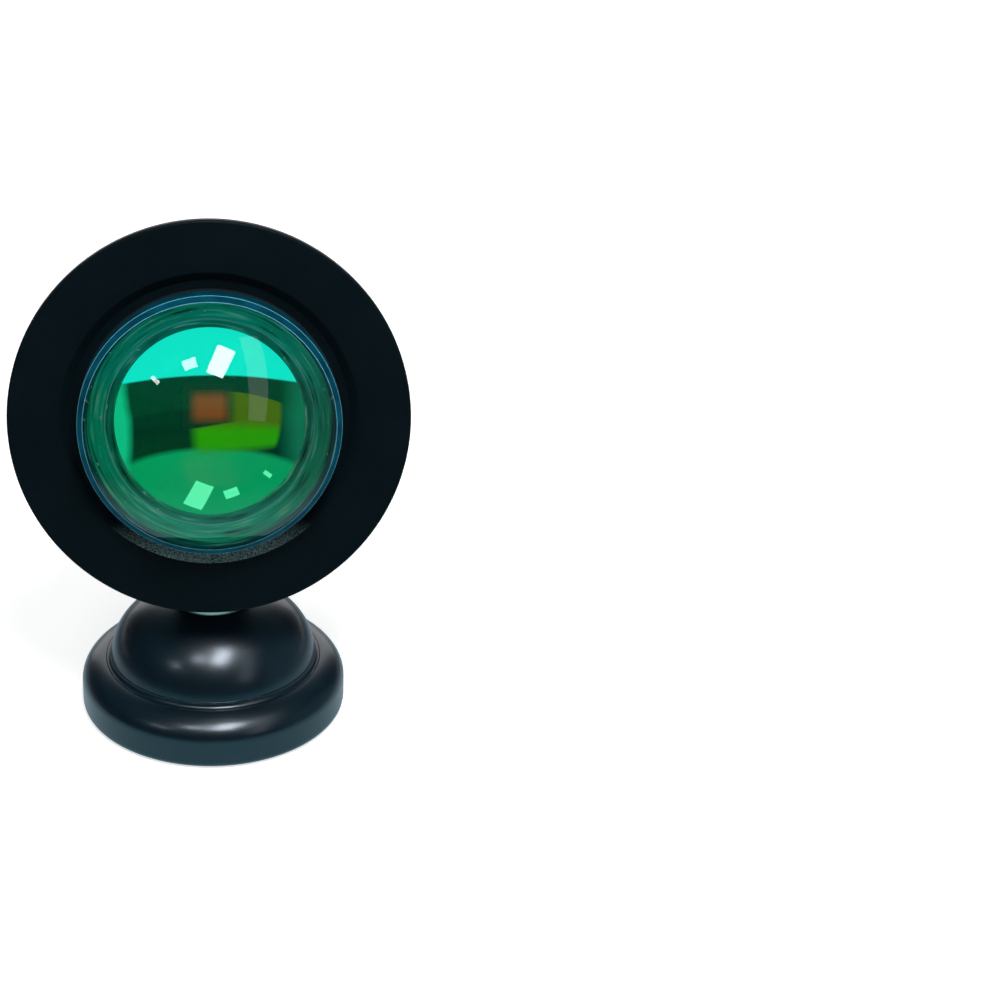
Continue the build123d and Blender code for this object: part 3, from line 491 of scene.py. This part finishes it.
# base: round rim, wall, broad shoulder and dome, hollow below, with the inlet's slot at the back
baseShape = dict(radius=31.3, lift=0.2, rimRound=1.8, wallTop=6.8, shoulderWidth=10.5, shoulderHeight=6.6,
                 shelf=6.9, filletReach=1.0, footFillet=1.2, domeHeight=17.26, domeFrom=3.4, domeShort=1.2,
                 seatRadius=10.2, seatRound=0.25, boreRadius=5.71, edgeRound=0.15, skin=2.5, skirtWall=4.2,
                 plateTop=2.7, plateRadius=29.0)
inletSlot = dict(level=4.8, length=9.24, height=3.56, low=2.85, high=6.75, columns=26, rows=12, around=360)
def makeBase():
    b, s = named(baseShape), named(inletSlot)
    shoulderRise = lambda inset: b.shoulderHeight * math.sqrt(1 - (1 - inset / b.shoulderWidth) ** 2)
    domeRadius, domeFoot = b.radius - b.shelf, b.wallTop + shoulderRise(b.shelf)
    skirtRadius, skirtTop = b.radius - b.skirtWall, b.wallTop + shoulderRise(b.skirtWall) - b.skin
    seatAngle = math.degrees(math.acos(b.seatRadius / domeRadius))
    seat = domeFoot + b.domeHeight * math.sin(math.radians(seatAngle))
    under = seat - b.skin
    vaultRadius, vaultHeight = domeRadius - b.skin, b.domeHeight - b.skin
    vaultAngle = math.degrees(math.asin((under - domeFoot) / vaultHeight))
    vaultTop = vaultRadius * math.cos(math.radians(vaultAngle))
    window = np.linspace(s.low, s.high, s.rows + 1)
    wall = lambda r: np.column_stack([np.full(len(window), r), window])
    foot = cornerLine([(b.plateRadius, b.plateTop), (b.plateRadius, b.lift), (b.radius, b.lift),
                       (b.radius, s.low)], [0, b.edgeRound, b.rimRound, 0], steps=12)
    shoulderEnd = math.degrees(math.acos(1 - (b.shelf - b.filletReach) / b.shoulderWidth))
    shoulder = arcPoints((b.radius - b.shoulderWidth, b.wallTop), (b.shoulderWidth, b.shoulderHeight),
                         0, shoulderEnd, 50)
    dome = arcPoints((0, domeFoot), (domeRadius, b.domeHeight), b.domeFrom, seatAngle - b.domeShort, 60)
    hollow = cornerLine([shoulder[-1], (domeRadius, domeFoot), dome[0]], [0, b.footFillet, 0], steps=10)
    top = cornerLine([dome[-1], (b.seatRadius, seat), (b.boreRadius, seat), (b.boreRadius, under),
                      (vaultTop, under)], [0, b.seatRound, b.edgeRound, b.edgeRound, 0])
    vault = arcPoints((0, domeFoot), (vaultRadius, vaultHeight), vaultAngle, 0, 30)
    skirt = [(vaultRadius, skirtTop), (skirtRadius, skirtTop)]
    parts = [foot[:-1], wall(b.radius), shoulder, hollow[1:-1], dome, top[1:], vault[1:], skirt,
             wall(skirtRadius)[::-1], [(skirtRadius, b.plateTop)]]
    outerRow = len(foot) - 1
    innerRow = sum(len(p) for p in parts[:-2])
    firstColumn = s.around // 4 - s.columns // 2
    inRows = lambda i: np.any([(i >= row) & (i < row + s.rows) for row in (outerRow, innerRow)], axis=0)
    inWindow = lambda i, j: inRows(i) & (j >= firstColumn) & (j < firstColumn + s.columns)
    shell = turned(np.vstack(parts), baseAxes, s.around, closed=True, skip=inWindow)
    # window frame on each wall: blends the slot's outline into the edge of the missing patch of grid
    half = math.radians(360 / s.around * s.columns / 2)
    edge = frameLoop(np.linspace(-half, half, s.columns + 1), window)
    slot = slotLoop(edge * [b.radius, 1] - [0, s.level], s.length, s.height)
    onWall = lambda p, r: np.stack([r * np.sin(p[..., 0]), r * np.cos(p[..., 0]), p[..., 1]], axis=-1)
    shapes, loops = [shell], []
    for r in (b.radius, skirtRadius):
        hole = np.column_stack([np.arcsin(slot[:, 0] / r), slot[:, 1] + s.level])
        shapes.append(loopSurface(onWall(between(hole, edge, 6), r)))
        loops.append(onWall(hole, r))
    shapes.append(loopSurface(between(loops[0], loops[1], 5)))
    addPiece("baseShell", shapes, [paint], "base", "base_shell")


# neck: flared foot and hollow stem, with two hinge ears
neckShape = dict(stemBore=2.4, stemRadius=4.0, stemEnd=19.8795, stemRound=0.3, rootRound=0.1, bottom=29.1795,
                 flangeRadius=10.1, flangeEdge=1.3, edgeRound=0.15, top=31.6495, radius=7.7)
hingeShape = dict(earRadius=5.2, earInner=3.06, earThickness=2.5, earRoot=1.0, hole=1.56, lugRadius=4.9,
                  lugThickness=5.0, lugReach=6.4, lugRoot=0.5, footWidth=11.0, footLength=19.0,
                  footCorner=2.0, footThickness=2.0, padDepth=3.4, padEdge=0.25, edge=0.35)
def eyeOutline(radius, reach, around=96):
    # a round eye on a straight stalk, as the distance from its middle in each direction
    a = np.arange(around) * 2 * math.pi / around
    c, s = np.cos(a), np.sin(a)
    toSide = radius / np.maximum(np.abs(c), tiny)
    toEnd = reach / np.maximum(-s, tiny)
    return np.where(s > 0, radius, np.minimum(toSide, toEnd))[:, None] * np.column_stack([c, s])


def makeNeck():
    n, h = named(neckShape), named(hingeShape)
    flareSize = (n.flangeRadius - n.radius, n.top - n.bottom - n.flangeEdge)
    # the flare starts three points in, which leaves room for the round of the flange's edge
    flare = arcPoints((n.flangeRadius, n.top), flareSize, 270, 180, 14)[3:]
    body = cornerLine([(n.stemBore, n.stemEnd), (n.stemRadius, n.stemEnd), (n.stemRadius, n.bottom),
                       (n.flangeRadius, n.bottom), (n.flangeRadius, n.bottom + n.flangeEdge), flare[0]],
                      [0, n.stemRound, n.rootRound, n.edgeRound, n.edgeRound, 0])
    profile = np.vstack([body, flare[1:], [(n.stemBore, n.top)]])
    shapes = [turned(profile, baseAxes, 192, closed=True)]
    outline = eyeOutline(h.earRadius, headPlace["hingeHeight"] - n.top + h.earRoot)
    for sign in (-1, 1):
        middle = hinge + side * sign * (h.earInner + h.earThickness / 2)
        shapes.append(eyeSurface(outline, h.hole, h.earThickness, h.edge, (middle, rearward, upward, side)))
    addPiece("neckFork", shapes, [finishes["satinNickel"]], "neck", "neck_fork")


def makeLug():
    h = named(hingeShape)
    eye = eyeSurface(eyeOutline(h.lugRadius, h.lugReach + h.lugRoot), h.hole, h.lugThickness, h.edge,
                     (hinge, beam, -rise, side))
    foot = slab(roundRect(h.footWidth, h.footLength, h.footCorner), h.footThickness, h.edge,
                (hinge + rise * h.lugReach, side, beam, rise))
    addPiece("tiltLug", [eye, foot], [paint], "head", "tilt_lug")


# face plate: flat disc with a countersink round the lens and a centring hub behind; its rounds go round the
# section from the hub's back
faceShape = dict(radius=46.0, thickness=3.0, sinkRadius=34.0, sinkDepth=2.0, aperture=26.5, hubRadius=29.5,
                 hubBack=-5.0, rounds=[0.15, 0.15, 0.1, 0.6, 0.6, 0.25, 0.2, 0.15])
def makeFacePlate():
    f = named(faceShape)
    sinkFoot = f.sinkRadius - f.sinkDepth
    profile = cornerLine([(f.aperture, f.hubBack), (f.hubRadius, f.hubBack), (f.hubRadius, -f.thickness),
                          (f.radius, -f.thickness), (f.radius, 0), (f.sinkRadius, 0),
                          (sinkFoot, -f.sinkDepth), (f.aperture, -f.sinkDepth)], f.rounds, closed=True)
    def byPlace(middles):
        # the countersink's slope takes the pale specks of painted light
        radius, level = beamPlace(middles)
        return np.where((radius < f.sinkRadius) & (radius > sinkFoot) & (level > -f.sinkDepth), 1, 0)
    addPiece("facePlate", [turned(profile, headAxes, 360, closed=True)], [anodised, paintedLightSlope],
             "head", "face_plate", byPlace)


# lens: steep front, ground edge and chamfer, flat seat and shallower back; the coated dish follows the back
lensShape = dict(radius=30.0, back=0.3, shoulder=6.5, chamfer=1.3, frontRadius=36.0, frontShort=0.5,
                 backRadius=50.0, backShort=0.3, backReach=26.2, seatRound=0.1, seatSlack=0.02, arris=0.3)
dishShape = dict(gap=0.15, thickness=0.3, reach=25.9, coatReach=17.0, lineFrom=19.0, lineTo=19.25, rows=60)
def makeLens():
    g, d = named(lensShape), named(dishShape)
    reach, foot = g.radius - g.chamfer, g.shoulder + g.chamfer
    frontCentre = foot - math.sqrt(g.frontRadius ** 2 - reach ** 2)
    backCentre = g.back + math.sqrt(g.backRadius ** 2 - g.backReach ** 2)
    frontAngle = math.degrees(math.acos(reach / g.frontRadius))
    backAngle = math.degrees(math.acos(g.backReach / g.backRadius))
    backArc = arcPoints((0, backCentre), (g.backRadius,) * 2, 270, 360 - backAngle - g.backShort, 70)
    frontArc = arcPoints((0, frontCentre), (g.frontRadius,) * 2, frontAngle + g.frontShort, 90, 90)
    edge = cornerLine([backArc[-1], (g.backReach, g.back), (g.radius, g.back), (g.radius, g.shoulder),
                       (reach, foot), frontArc[0]], [0, g.seatRound, g.arris, g.arris, g.arris, 0])
    profile = np.vstack([backArc[:-1], edge, frontArc[1:]])
    profile[[0, -1], 0] = 0
    def byPlace(middles):
        # clear cement on the bulge at the back, the coat's margin on the flat seat, the ground edge and
        # chamfer in painted blue with painted highlights on the arrises, glass elsewhere
        radius, level = beamPlace(middles)
        onBack = level < g.back + g.seatSlack
        onEdge = (level < foot) & (radius > reach) & ~onBack
        toArris = [np.hypot(radius - r, level - z) for r, z in ((g.radius, g.shoulder), (reach, foot))]
        arrisHighlight = np.minimum(*toArris) < g.arris / 2
        return np.select([onBack & (radius < g.backReach), onBack, arrisHighlight, onEdge], [1, 2, 4, 3], 0)
    lensLooks = [glass, cement, margins["marginBlue"], finishes["groundGlassPaintedBlue"], finishes["paintedHighlightLine"]]
    addPiece("lensGlass", [turned(profile, headAxes, 320)], lensLooks,
             "head", "lens", byPlace)
    front, back = g.backRadius + d.gap, g.backRadius + d.gap + d.thickness
    ends = [band["reach"] for band in marginBands.values()]
    radii = np.union1d(np.linspace(0, d.reach, d.rows), [d.coatReach, d.lineFrom, d.lineTo, *ends[:-1]])
    bowl = lambda r: np.column_stack([radii, backCentre - np.sqrt(r ** 2 - radii ** 2)])
    profile = np.vstack([bowl(front), bowl(back)[::-1]])
    profile[[0, -1], 0] = 0
    def byFace(middles):
        # mirror on the front of the dish, its dim margin in bands with one painted highlight line, and a
        # clear back
        radius, level = beamPlace(middles)
        onBack = np.hypot(radius, level - backCentre) > front + d.thickness / 2
        onPaintedLine = (radius > d.lineFrom) & (radius < d.lineTo)
        band = 3 + np.searchsorted(ends, radius)
        return np.select([onBack, radius < d.coatReach, onPaintedLine], [1, 0, 2], band)
    dishLooks = [coat, cement, finishes["paintedHighlightLine"], *margins.values()]
    addPiece("dichroicDish", [turned(profile, headAxes, 256)], dishLooks,
             "head", "dichroic_filter", byFace)


# reflector cup: the square of the radius grows evenly with depth
cupShape = dict(back=-14.2, front=-6.2, throat=5.715, mouth=20.8, wall=1.6, flange=1.2, flangeStep=0.5,
                rim=29.2, rimRound=0.15)
def makeReflector():
    c = named(cupShape)
    level = np.linspace(c.back, c.front, 30)
    radius = np.sqrt(c.throat ** 2 + (c.mouth ** 2 - c.throat ** 2) * (level - c.back) / (c.front - c.back))
    inside = np.column_stack([radius, level])
    keep = level < c.front - c.flange
    outside = np.column_stack([radius + c.wall, level])[keep][::-1]
    rim = cornerLine([inside[-1], (c.rim, c.front), (c.rim, c.front - c.flange),
                      outside[0] + [c.flangeStep, 0]], [0, c.rimRound, c.rimRound, 0])
    profile = np.vstack([inside, rim[1:], outside])
    addPiece("reflectorCup", [turned(profile, headAxes, 192, closed=True)], [finishes["metallisedPaintedShade"]],
             "head", "reflector_cup")


# rear shell: flange, taper and rounded back with a ring of vents round the button
shellShape = dict(front=-3.0, flangeBack=-5.2, flangeRadius=39.0, flangeRound=0.3, frontRadius=32.0,
                  taperEnd=-36.0, backRadius=28.0, backFace=21.0, back=-48.0, wall=2.2, fillet=0.8,
                  buttonHole=5.95, holeRounds=(0.25, 0.15), sinkBack=-19.8, ledge=3.3, ledgeThickness=2.0)
ventShape = dict(count=12, circle=15.0, length=6.5, width=2.2, low=8.0, high=20.0, inset=1.6,
                 across=30, along=12)
def makeRearShell():
    s, v, h = named(shellShape), named(ventShape), named(hingeShape)
    slope = (s.backRadius - s.frontRadius, s.taperEnd - s.flangeBack)
    inside = lambda z: s.frontRadius + slope[0] * (s.flangeBack - z) / (s.flangeBack - s.taperEnd) - s.wall
    inBack, innerHigh, ledgeBack = s.back + s.wall, v.high - v.inset, s.sinkBack - s.ledgeThickness
    taper = cornerLine([(s.frontRadius - s.wall, s.front), (s.flangeRadius, s.front),
                        (s.flangeRadius, s.flangeBack), (s.frontRadius, s.flangeBack),
                        (s.backRadius, s.taperEnd)], [0, s.flangeRound, s.flangeRound, s.fillet, 0])
    back = tangentArc(taper[-1], slope, (s.backFace, s.back), 30)
    outerFlat = [(v.high, s.back), (v.low, s.back)]
    bore = cornerLine([(v.low, s.back), (s.buttonHole, s.back), (s.buttonHole, inBack), (v.low, inBack)],
                      [0, *s.holeRounds, 0])
    innerFlat = [(v.low, inBack), (innerHigh, inBack)]
    innerBack = tangentArc((s.backRadius - s.wall, s.taperEnd), slope, (s.backFace - s.wall, inBack), 20)
    ledgeEdge = inside(s.sinkBack) - s.ledge
    ledge = [(inside(ledgeBack), ledgeBack), (ledgeEdge, ledgeBack), (ledgeEdge, s.sinkBack),
             (inside(s.sinkBack), s.sinkBack), (s.frontRadius - s.wall, s.flangeBack)]
    profile = np.vstack([taper, back[1:], outerFlat, bore[1:-1], innerFlat, innerBack[::-1], ledge])
    outRow = len(taper) + len(back) - 1
    inRow = outRow + len(bore)
    ventRing = lambda i, j: (i == outRow) | (i == inRow)
    shell = turned(profile, headAxes, v.count * v.across, closed=True, skip=ventRing)
    # each vent: a frame from the slot's outline to its share of the ring, on both faces, and walls between
    half = math.pi / v.count
    a = np.linspace(-half, half, v.across + 1)
    origin, first, second, axis = headAxes
    shapes, loops = [shell], []
    for level, high in ((s.back, v.high), (inBack, innerHigh)):
        angle, r = frameLoop(a, np.linspace(v.low, high, v.along + 1)).T
        edge = np.column_stack([r * np.cos(angle), r * np.sin(angle)])
        hole = slotLoop(edge - [v.circle, 0], v.length, v.width) + [v.circle, 0]
        flat = between(hole, edge, 4)
        for b in (np.arange(v.count) * 2 + 1) * half:
            c, q = math.cos(b), math.sin(b)
            place = lambda p: (origin + level * axis + (p[..., :1] * c - p[..., 1:] * q) * first
                               + (p[..., :1] * q + p[..., 1:] * c) * second)
            shapes.append(loopSurface(place(flat)))
            loops.append(place(hole))
    shapes += [loopSurface(np.stack(pair)) for pair in zip(loops, loops[v.count:])]
    pad = slab(roundRect(h.footWidth, h.footLength, h.footCorner), h.padDepth, h.padEdge,
               (hinge + rise * (h.lugReach + h.footThickness), side, beam, rise))
    addPiece("rearShell", shapes + [pad], [anodised], "head", "rear_shell")


# push button in the middle of the vents
buttonShape = dict(face=-50.0, radius=5.8, edge=0.6, corner=0.1, flangeBack=-45.7, flangeFront=-44.7,
                   flangeRadius=7.2, skin=1.2)
def makeButton():
    b = named(buttonShape)
    inner, roof = b.radius - b.skin, b.face + b.skin
    profile = cornerLine([(0, b.face), (b.radius, b.face), (b.radius, b.flangeBack),
                          (b.flangeRadius, b.flangeBack), (b.flangeRadius, b.flangeFront),
                          (inner, b.flangeFront), (inner, roof), (0, roof)],
                         [0, b.edge] + [b.corner] * 5 + [0])
    addPiece("powerButton", [turned(profile, headAxes, 128)], [finishes["buttonAbs"]],
             "button", "power_button")


makeBase()
makeNeck()
makeLug()
makeFacePlate()
makeLens()
makeReflector()
makeRearShell()
makeButton()

# finishes of the pieces that keep their CAD form
nodeFinishes = {
    "zincPlatedSteel": ["base_plate", "plate_screws", "ballast_screws", "spring_washer", "swivel_nut",
                        "tilt_bolt", "tilt_nut", "face_screws", "led_screws", "lug_screws", "switch_screws"],
    "mouldedRubber": ["foot_pad", "lens_gasket"],
    "phosphatedIron": ["ballast"],
    "tinnedSteel": ["power_inlet"],
    "greenLaminate": ["driver_board", "switch_board"],
    "blackLaminate": ["led_board"],
    "naturalAcetal": ["swivel_bush", "switch_plunger"],
    "mouldedAbs": ["filter_retainer", "switch_body", "friction_washer", "tilt_washers"],
    "yellowPhosphorWithPaintedGlow": ["led_emitter"],
    "milledAluminium": ["heat_sink"],
}
for finish, names in nodeFinishes.items():
    for name in names:
        nodes[name].data.materials.clear()
        nodes[name].data.materials.append(finishes[finish])
print("finishes set on", sum(len(n) for n in nodeFinishes.values()), "nodes")

# stage: white floor and surroundings
stageLook = dict(floorSize=6.0, floorColour="#f2f2f2", floorRough=0.9, floorGlow=0.62, white="#ffffff",
                 surround=1.0, ambient=0.35)
oneFace = [(0, 1, 2, 3)]
def seenRays(tree):
    # 1 for rays of the camera, gloss and glass, and 0 for the light that falls on the lamp
    rays = addNode(tree, "LightPath").outputs
    seen = addNode(tree, "Math", {0: rays["Is Camera Ray"], 1: rays["Is Glossy Ray"]}, operation="MAXIMUM")
    return addNode(tree, "Math", {0: seen, 1: rays["Is Transmission Ray"]}, operation="MAXIMUM")


def makeStage():
    k = named(stageLook)
    floor = bpy.data.meshes.new("floor")
    h = k.floorSize / 2
    floor.from_pydata([(-h, -h, 0), (h, -h, 0), (h, h, 0), (-h, h, 0)], [], oneFace)
    material, tree = newMaterial("whiteTable")
    glow = addNode(tree, "Math", {0: seenRays(tree), 1: k.floorGlow}, operation="MULTIPLY")
    top = addNode(tree, "BsdfPrincipled", {"Base Color": linear(k.floorColour), "Roughness": k.floorRough,
                                           "Emission Color": linear(k.white), "Emission Strength": glow})
    addNode(tree, "OutputMaterial", {"Surface": top})
    floor.materials.append(material)
    addObject("floor", floor)

    world = bpy.data.worlds.new("studio")
    bpy.context.scene.world = world
    world.use_nodes = True
    tree = world.node_tree
    tree.nodes.clear()
    level = addNode(tree, "MapRange", {"Value": seenRays(tree), "To Min": k.ambient, "To Max": k.surround})
    back = addNode(tree, "Background", {"Color": linear(k.white), "Strength": level})
    addNode(tree, "OutputWorld", {"Surface": back})


# rooms that only reflections see, in metres: one for the mirror behind the lens, one for paint and the front
# of the lens; the pairs for ceiling, window and left are shares of the radius
roomShape = dict(radius=2.2, turn=150, over=125, columns=90, rows=50, level=0.0001, back=0.3,
                 tableBack=(-0.06, 0.0), ceiling=(0.42, 0.48), window=(0.80, 0.87), left=(-0.90, -0.72))
roomTones = {
    "lensRoom": dict(edge=(0.185, 0.195), table="#86eaf6", behind="#86eaf6", floor="#24392f",
                     wall="#152d27", left="#2f6b5a", ceiling="#329a70", window="#86bf9f"),
    "paintRoom": dict(edge=(0.05, 0.13), table="#86cfda", behind="#a9c0cc", floor="#26404b",
                      wall="#1a282e", left="#1a282e", ceiling="#2c4a52", window="#566f79"),
}
warmCard = dict(at=-0.33, left=-0.387, step=-0.058, right=0.082, floor=0.0001, low=0.13, high=0.26,
                soft=0.045, stepSoft=0.012, lowTone="#ff3b07", highTone="#a05a04", strength=3.0)
lampImage = dict(tone="#ff705f", strength=6.0)  # the lamps as the coat mirrors them, dimmer than they are
def addGlow(name, verts, faces, tones, strength, toMirror):
    # glowing faces that light nothing and show only in the mirror, or only in paint and on the glass
    mesh = bpy.data.meshes.new(name)
    mesh.from_pydata(verts, [], faces)
    material, tree = newMaterial(name)
    place = addNode(tree, "TexCoord").outputs["Object"]
    split = addNode(tree, "SeparateXYZ", {"Vector": place})
    colour, cover = tones(tree, place, split.outputs)
    glow = addNode(tree, "Emission", {"Color": colour, "Strength": strength})
    clear = addNode(tree, "BsdfTransparent")
    shown = addNode(tree, "MixShader", {0: cover, 1: clear, 2: glow})
    addNode(tree, "OutputMaterial", {"Surface": shown})
    mesh.materials.append(material)
    obj = addObject(name, mesh)
    obj.visible_camera = obj.visible_diffuse = obj.visible_shadow = False
    obj.visible_transmission, obj.visible_glossy = toMirror, not toMirror


def makeRooms():
    # walls: part of a sphere, radius * (sin a cos e, -cos a cos e, sin e), with a pale ceiling and a window
    # on the right; floor: a round table top, and a dark floor beyond it that is paler below the window
    k = named(roomShape)
    r, z = k.radius, k.level
    ground = [(-r, -r, z), (r, -r, z), (r, k.back, z), (-r, k.back, z)]
    scaled = lambda span: [r * x for x in span]
    for name, look in roomTones.items():
        a, e = np.meshgrid(np.radians(np.linspace(-k.turn, k.turn, k.columns)),
                           np.radians(np.linspace(0, k.over, k.rows)), indexing="ij")
        ball = r * np.stack([np.sin(a) * np.cos(e), -np.cos(a) * np.cos(e), np.sin(e)], axis=-1)
        tone = {key: linear(value) for key, value in look.items() if isinstance(value, str)}
        def wallTones(tree, place, part):
            low = blend(tree, part["X"], scaled(k.left), tone["left"], tone["wall"])
            up = blend(tree, part["Z"], scaled(k.ceiling), low, tone["ceiling"])
            return blend(tree, part["X"], scaled(k.window), up, tone["window"]), 1.0
        def floorTones(tree, place, part):
            away = addNode(tree, "VectorMath", {0: place}, operation="LENGTH")
            aside = addNode(tree, "Math", {0: part["X"], 1: away}, operation="DIVIDE")
            far = blend(tree, aside, k.left, tone["left"], tone["floor"])
            far = blend(tree, aside, k.window, far, tone["window"])
            near = blend(tree, part["Y"], k.tableBack, tone["table"], tone["behind"])
            return blend(tree, away, look["edge"], near, far), 1.0
        inMirror = name == "lensRoom"
        addGlow(name + "Walls", ball.reshape(-1, 3).tolist(), gridFaces(k.columns, k.rows).tolist(),
                wallTones, 1.0, inMirror)
        addGlow(name + "Floor", ground, oneFace, floorTones, 1.0, inMirror)
    c = warmCard
    def cardTones(tree, place, part):
        # two tones with a soft step between, and soft edges; the right edge is further out above the step
        span = (c["low"] - c["soft"] / 2, c["low"] + c["soft"] / 2)
        colour = blend(tree, part["Z"], span, linear(c["lowTone"]), linear(c["highTone"]))
        edge = addNode(tree, "MapRange", {"Value": part["Z"], "From Min": c["low"] - c["stepSoft"],
                                          "From Max": c["low"] + c["stepSoft"], "To Min": c["step"],
                                          "To Max": c["right"]})
        inside = addNode(tree, "Math", {0: edge, 1: part["X"]}, operation="SUBTRACT")
        cover = addNode(tree, "MapRange", {"Value": inside, "From Max": c["soft"]})
        for axis, limit in (("X", "left"), ("Z", "high")):
            far = addNode(tree, "Math", {0: part[axis], 1: c[limit]}, operation="SUBTRACT")
            far = addNode(tree, "Math", {0: far}, operation="ABSOLUTE")
            fade = addNode(tree, "MapRange", {"Value": far, "From Max": c["soft"]})
            cover = addNode(tree, "Math", {0: cover, 1: fade}, operation="MULTIPLY")
        return colour, cover
    corners = [("left", "floor"), ("right", "floor"), ("right", "high"), ("left", "high")]
    corners = [(c[x], c["at"], c[z]) for x, z in corners]
    addGlow("warmCard", corners, oneFace, cardTones, c["strength"], True)


# soft boxes, in degrees and metres: bearing from the front (right is positive), elevation, distance, size,
# turn and brightness, and whether the coat mirrors them
softBoxes = {
    "keyBox": dict(bearing=15.9, elevation=59.6, distance=0.9, width=0.20, height=0.355, turn=-35.5,
                   radiance=20.0, image=True),
    "sideBox": dict(bearing=-25.0, elevation=56.9, distance=1.3, width=0.215, height=0.17, turn=36.0,
                    radiance=14.0, image=True),
    "farBox": dict(bearing=-52.1, elevation=37.4, distance=1.6, width=0.21, height=0.08, turn=-13.0,
                   radiance=14.0, image=True),
    "stripBox": dict(bearing=47.9, elevation=40.0, distance=1.0, width=0.26, height=1.15, turn=-26.5,
                     radiance=0.9, image=False),
}
def makeLights():
    aim = Vector(faceCentre * mm)
    for name, box in softBoxes.items():
        b = named(box)
        bearing, up = math.radians(b.bearing), math.radians(b.elevation)
        toward = Vector((math.sin(bearing) * math.cos(up), -math.cos(bearing) * math.cos(up), math.sin(up)))
        lamp = bpy.data.lights.new(name, "AREA")
        lamp.shape = "RECTANGLE"
        lamp.size, lamp.size_y = b.width, b.height
        lamp.energy = b.radiance * math.pi * b.width * b.height
        obj = addObject(name, lamp)
        facing = toward.to_track_quat("Z", "Y").to_matrix().to_4x4()
        turn = facing @ Matrix.Rotation(math.radians(b.turn), 4, "Z")
        obj.matrix_world = Matrix.Translation(aim + toward * b.distance) @ turn
        obj.visible_camera = obj.visible_transmission = False
        if b.image:
            x, y = b.width / 2, b.height / 2
            flat = ((-x, -y, 0), (x, -y, 0), (x, y, 0), (-x, y, 0))
            corners = [obj.matrix_world @ Vector(p) for p in flat]
            addGlow(name + "Image", corners, oneFace, lambda *unused: (linear(lampImage["tone"]), 1.0),
                    lampImage["strength"], True)


# camera: stands in front of the lamp and looks down on it; the lamp sits left of the middle of the frame
cameraPlace = dict(distance=800.0, height=61.30, lens=123.1, sensor=36.0, near=0.05, far=20)
cameraTurn = dict(elevation=28.99, pan=4.83, tilt=-0.47, roll=-0.79)
def swing(first, second, angle):
    # turns two square axes in their plane, the first towards the second
    c, s = math.cos(angle), math.sin(angle)
    return first * c + second * s, second * c - first * s


def makeCamera():
    c, turns = named(cameraPlace), named({key: math.radians(value) for key, value in cameraTurn.items()})
    back = np.array([0, -math.cos(turns.elevation), math.sin(turns.elevation)])
    ahead, right = -back, side
    up = np.cross(right, ahead)
    ahead, right = swing(ahead, right, turns.pan)
    ahead, up = swing(ahead, up, turns.tilt)
    right, up = swing(right, up, turns.roll)
    data = bpy.data.cameras.new("camera")
    data.lens, data.sensor_width = c.lens, c.sensor
    data.clip_start, data.clip_end = c.near, c.far
    obj = addObject("camera", data)
    spot = (np.array([0, 0, c.height]) + back * c.distance) * mm
    turn = Matrix((right.tolist(), up.tolist(), (-ahead).tolist())).transposed().to_4x4()
    obj.matrix_world = Matrix.Translation(Vector(spot)) @ turn
    bpy.context.scene.camera = obj


makeStage()
makeRooms()
makeLights()
makeCamera()
bpy.context.scene.view_settings.view_transform = "Standard"
print("stage, lights and camera set")
